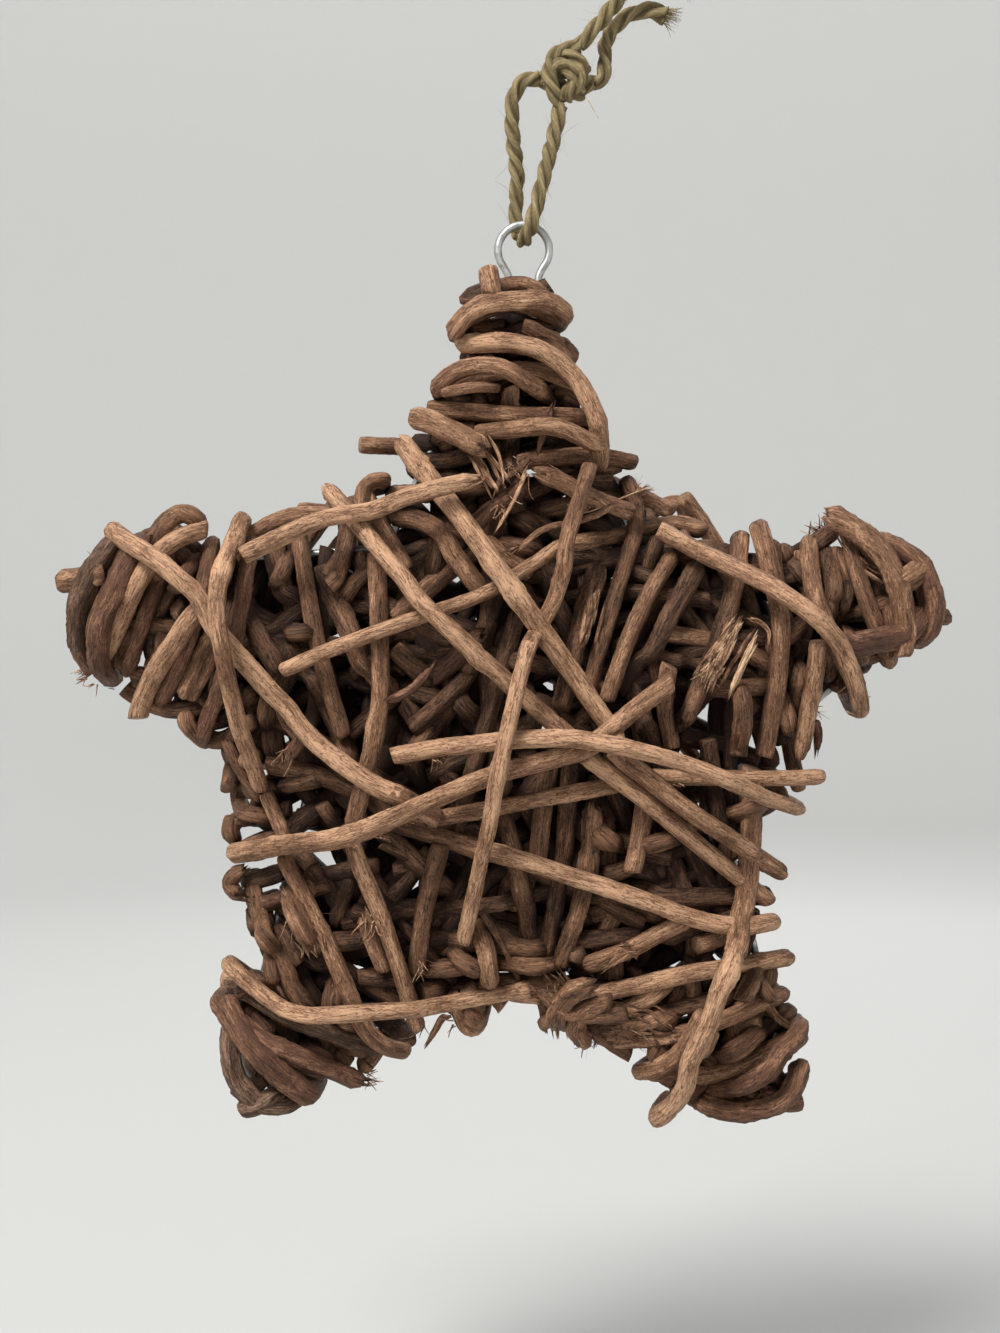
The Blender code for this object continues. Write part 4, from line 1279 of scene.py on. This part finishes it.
def add_torn_bark(pile, materials):
    """Torn strips, patches of narrow splinters and bundles of fine fibres, as one piece."""
    rng = rng_for("torn")
    torn = Shape()
    for (look,), (width, flat, shell), places in read_rows(STRIPS):
        flat_strip(torn, places, width, flat, shell, look, rng, pile)
    for (look,), (width, count), places in read_rows(SPLINTERS):
        for _ in range(int(count)):
            splinter(torn, *places, width, look, rng, pile)
    for _, (spread, count, length, *way), places in read_rows(TUFTS):
        tuft(torn, places[0], spread, int(count), length, way, rng, pile)
    torn.finish("torn_bark", materials, "vine_bark")


def arm_half_width(height):
    """Half the width in mm of the wound arm this far from the star's centre."""
    return float(np.interp(height, (56, 62, 68, 75, 90, 105), (32, 28, 23, 19.5, 16, 11)))


def across_arm(rng, arm, height, half, lean, rise):
    """Places of a twig that crosses an arm, leaning by chance, at a height from the star's centre."""
    lean = rng.uniform(-lean, lean)
    places = [(-half, height - lean), (0, height + rise), (half, height + lean)]
    return turn_in_plane(places, arm * ARM_ANGLE)


def inner_rows(rng):
    """Twigs inside the star, which the outer ones cover; their dark looks are painted shade for its inside.
    """
    rows = []
    while len(rows) < INNER_TWIGS:
        first = rng.uniform(-78, 78, 2)
        second = rng.uniform(-78, 78, 2)
        middle = (first + second) / 2 + rng.uniform(-5, 5, 2)
        places = [first, middle, second]
        inside = all(star_margin(*(place * MM)) > 0.010 for place in places)
        if inside and 45 < np.linalg.norm(second - first) < 120:
            shell = (0.55, 0.30, 0.05, -0.35)[len(rows) % 4]
            # Mostly the dark look, as painted shade inside the star.
            look = ("dark", "dark", "red", "dark")[len(rows) % 4]
            rows.append((4.2 + 1.2 * rng.random(), shell, -1, "cut", "cut", look, places))
    for arm in range(5):
        for step in range(10):
            height = 54 + 5.2 * step
            places = across_arm(rng, arm, height, 0.86 * arm_half_width(height), 12, 2)
            shell = (0.5, -0.3)[step % 2]
            rows.append((4.4 + 0.8 * rng.random(), shell, -1, "cut", "cut", "dark", places))
        lengthwise = [(rng.uniform(-6, 6), 45), (rng.uniform(-3, 3), 75), (0, 100)]
        rows.append((5.0, 0.1, -1, "cut", "cut", "dark", turn_in_plane(lengthwise, arm * ARM_ANGLE)))
    return rows


def back_rows(rng):
    """Plainer twigs across the back, from edge to edge."""
    rows = []
    for number in range(BACK_TRIES):
        angle = rng.uniform(0, 2 * math.pi)
        across = rng.uniform(-34, 34)
        reach = rng.uniform(48, 70)
        bow = rng.uniform(-5, 5)
        way = np.array([math.sin(angle), math.cos(angle)])
        side = np.array([way[1], -way[0]])
        places = [way * share * reach + side * (across + bow * (1 - share ** 2)) for share in (-1, 0, 1)]
        if all(star_margin(*(place * MM)) > 0.006 for place in places):
            look = ("bark", "tan", "bark", "dark", "red")[number % 5]
            shell = 0.86 - 0.2 * number / BACK_TRIES
            rows.append((4.4 + 0.8 * rng.random(), shell, -1, "cut", "cut", look, places))
    for arm in range(5):
        for step in range(7):
            height = 57 + 8.0 * step
            places = across_arm(rng, arm, height, arm_half_width(height), 4, 3)
            look = ("bark", "red", "bark", "dark", "tan", "bark", "dark")[(step + arm) % 7]
            rows.append((4.6 + 0.6 * rng.random(), 0.84, -1, "hook", "hook", look, places))
    return rows


def add_rows(name, rows, pile, materials, side=-1, sides=16, spacing=0.0010, most=0.007):
    """Lays a group of twigs and makes one piece of them."""
    shape = Shape()
    rng = rng_for(name)
    for thickness, shell, way, start, end, look, places in rows:
        radius = thickness * MM / 2
        route = twig_route(start, end, places, shell, side)
        route = settle(lay(route, radius, pile, way, most), radius, pile)
        pile.add(route, radius)
        ends = ["cut" if kind in ("hook", "wrap") else kind for kind in (start, end)]
        line = round_bends(resample(smooth_curve(route, 4 * len(route)), LINE_SPACING), 0.002) + STAR
        add_twig(shape, line, radius, look, rng, ends, sides=sides, spacing=spacing)
    shape.finish(name, materials, "vine_bark")


def near_end(line, place):
    """The last few points of a line, from inside it to the end nearest to a place in the view."""
    ends = [np.hypot(*(line[k][::2] - STAR[::2] - np.array(place[:2]) * MM)) for k in (0, -1)]
    if ends[0] < ends[1]:
        line = line[::-1]
    return line[arc_lengths(line) > arc_lengths(line)[-1] - 0.006][::3]


def add_joins(lines, radii, materials):
    """Twigs that carry a node's twig on, under those that cross it, to another node's."""
    shape = Shape()
    rng = rng_for("joins")
    for words, _, places in read_rows(JOINS):
        first, look = words[0], words[-1]
        last = words[1] if len(words) == 3 else None
        start = near_end(lines[first], places[0])
        end = near_end(lines[last], places[-1])[::-1] if last else start[:0]
        share = np.linspace(0, 1, len(places) + 2)[1:-1] if last else 0
        seen = np.array(places) * MM
        depth = start[-1][1] + share * (end[0][1] - start[-1][1] if last else 0) + seen[:, 2]
        line = np.vstack([start, from_view(seen[:, 0], seen[:, 1], depth) + [STAR[0], 0, STAR[2]], end])
        line = round_bends(resample(smooth_curve(line, 6 * len(line)), LINE_SPACING), 0.004)
        ends = ("tip", "tip" if last else "cut")
        add_twig(shape, line, 1.03 * radii[first], look, rng, ends, (), taper=0.97)
    shape.finish("joining_twigs", materials, "vine_bark")


def make_twigs(materials):
    """Fine twigs in place of the frame's, then the smaller ones laid among them."""
    pile = Pile()
    lines, radii = {}, {}
    looks = {words[0]: (*read_words(words, "bark")[:2], knots) for words, knots, _ in read_rows(NODE_LOOKS)}
    for name in sorted(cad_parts):
        if name == "wire_frame" or name.startswith("twine"):
            continue
        places, radius = spine(name)
        line = round_bends(resample(places, 0.0007), 0.0035)
        lines[name], radii[name] = line, radius
        pile.add(resample(line, LAID_SPACING) - STAR, radius)
        look, ends, knots = looks.get(name, ("bark", ("cut", "cut"), ()))
        shape = Shape()
        # Painted shade: the deepest twigs of the front are made a little darker.
        deep_shade = -0.10 if name in DEEP_NODES else 0.0
        add_twig(shape, line, radius, look, rng_for(name), ends, knots, sides=18, tone_shift=deep_shade)
        slot = "weathered_bark" if LOOKS[look][0] == 1 else "vine_bark"
        shape.finish(name + "_bark", materials, slot, name)
    add_joins(lines, radii, materials)
    for name, rows in twig_groups(EXTRA_TWIGS).items():
        add_rows(name, rows, pile, materials)
    add_rows("outer_back_twigs", back_rows(rng_for("back")), pile, materials, 1, 12, 0.0015)
    add_rows("inner_twigs", inner_rows(rng_for("inner")), pile, materials, -1, 8, 0.0022, 0.002)
    add_torn_bark(pile, materials)



add_stage()
make_twine(jute_material())
make_wire(wire_material())
make_twigs(bark_materials())
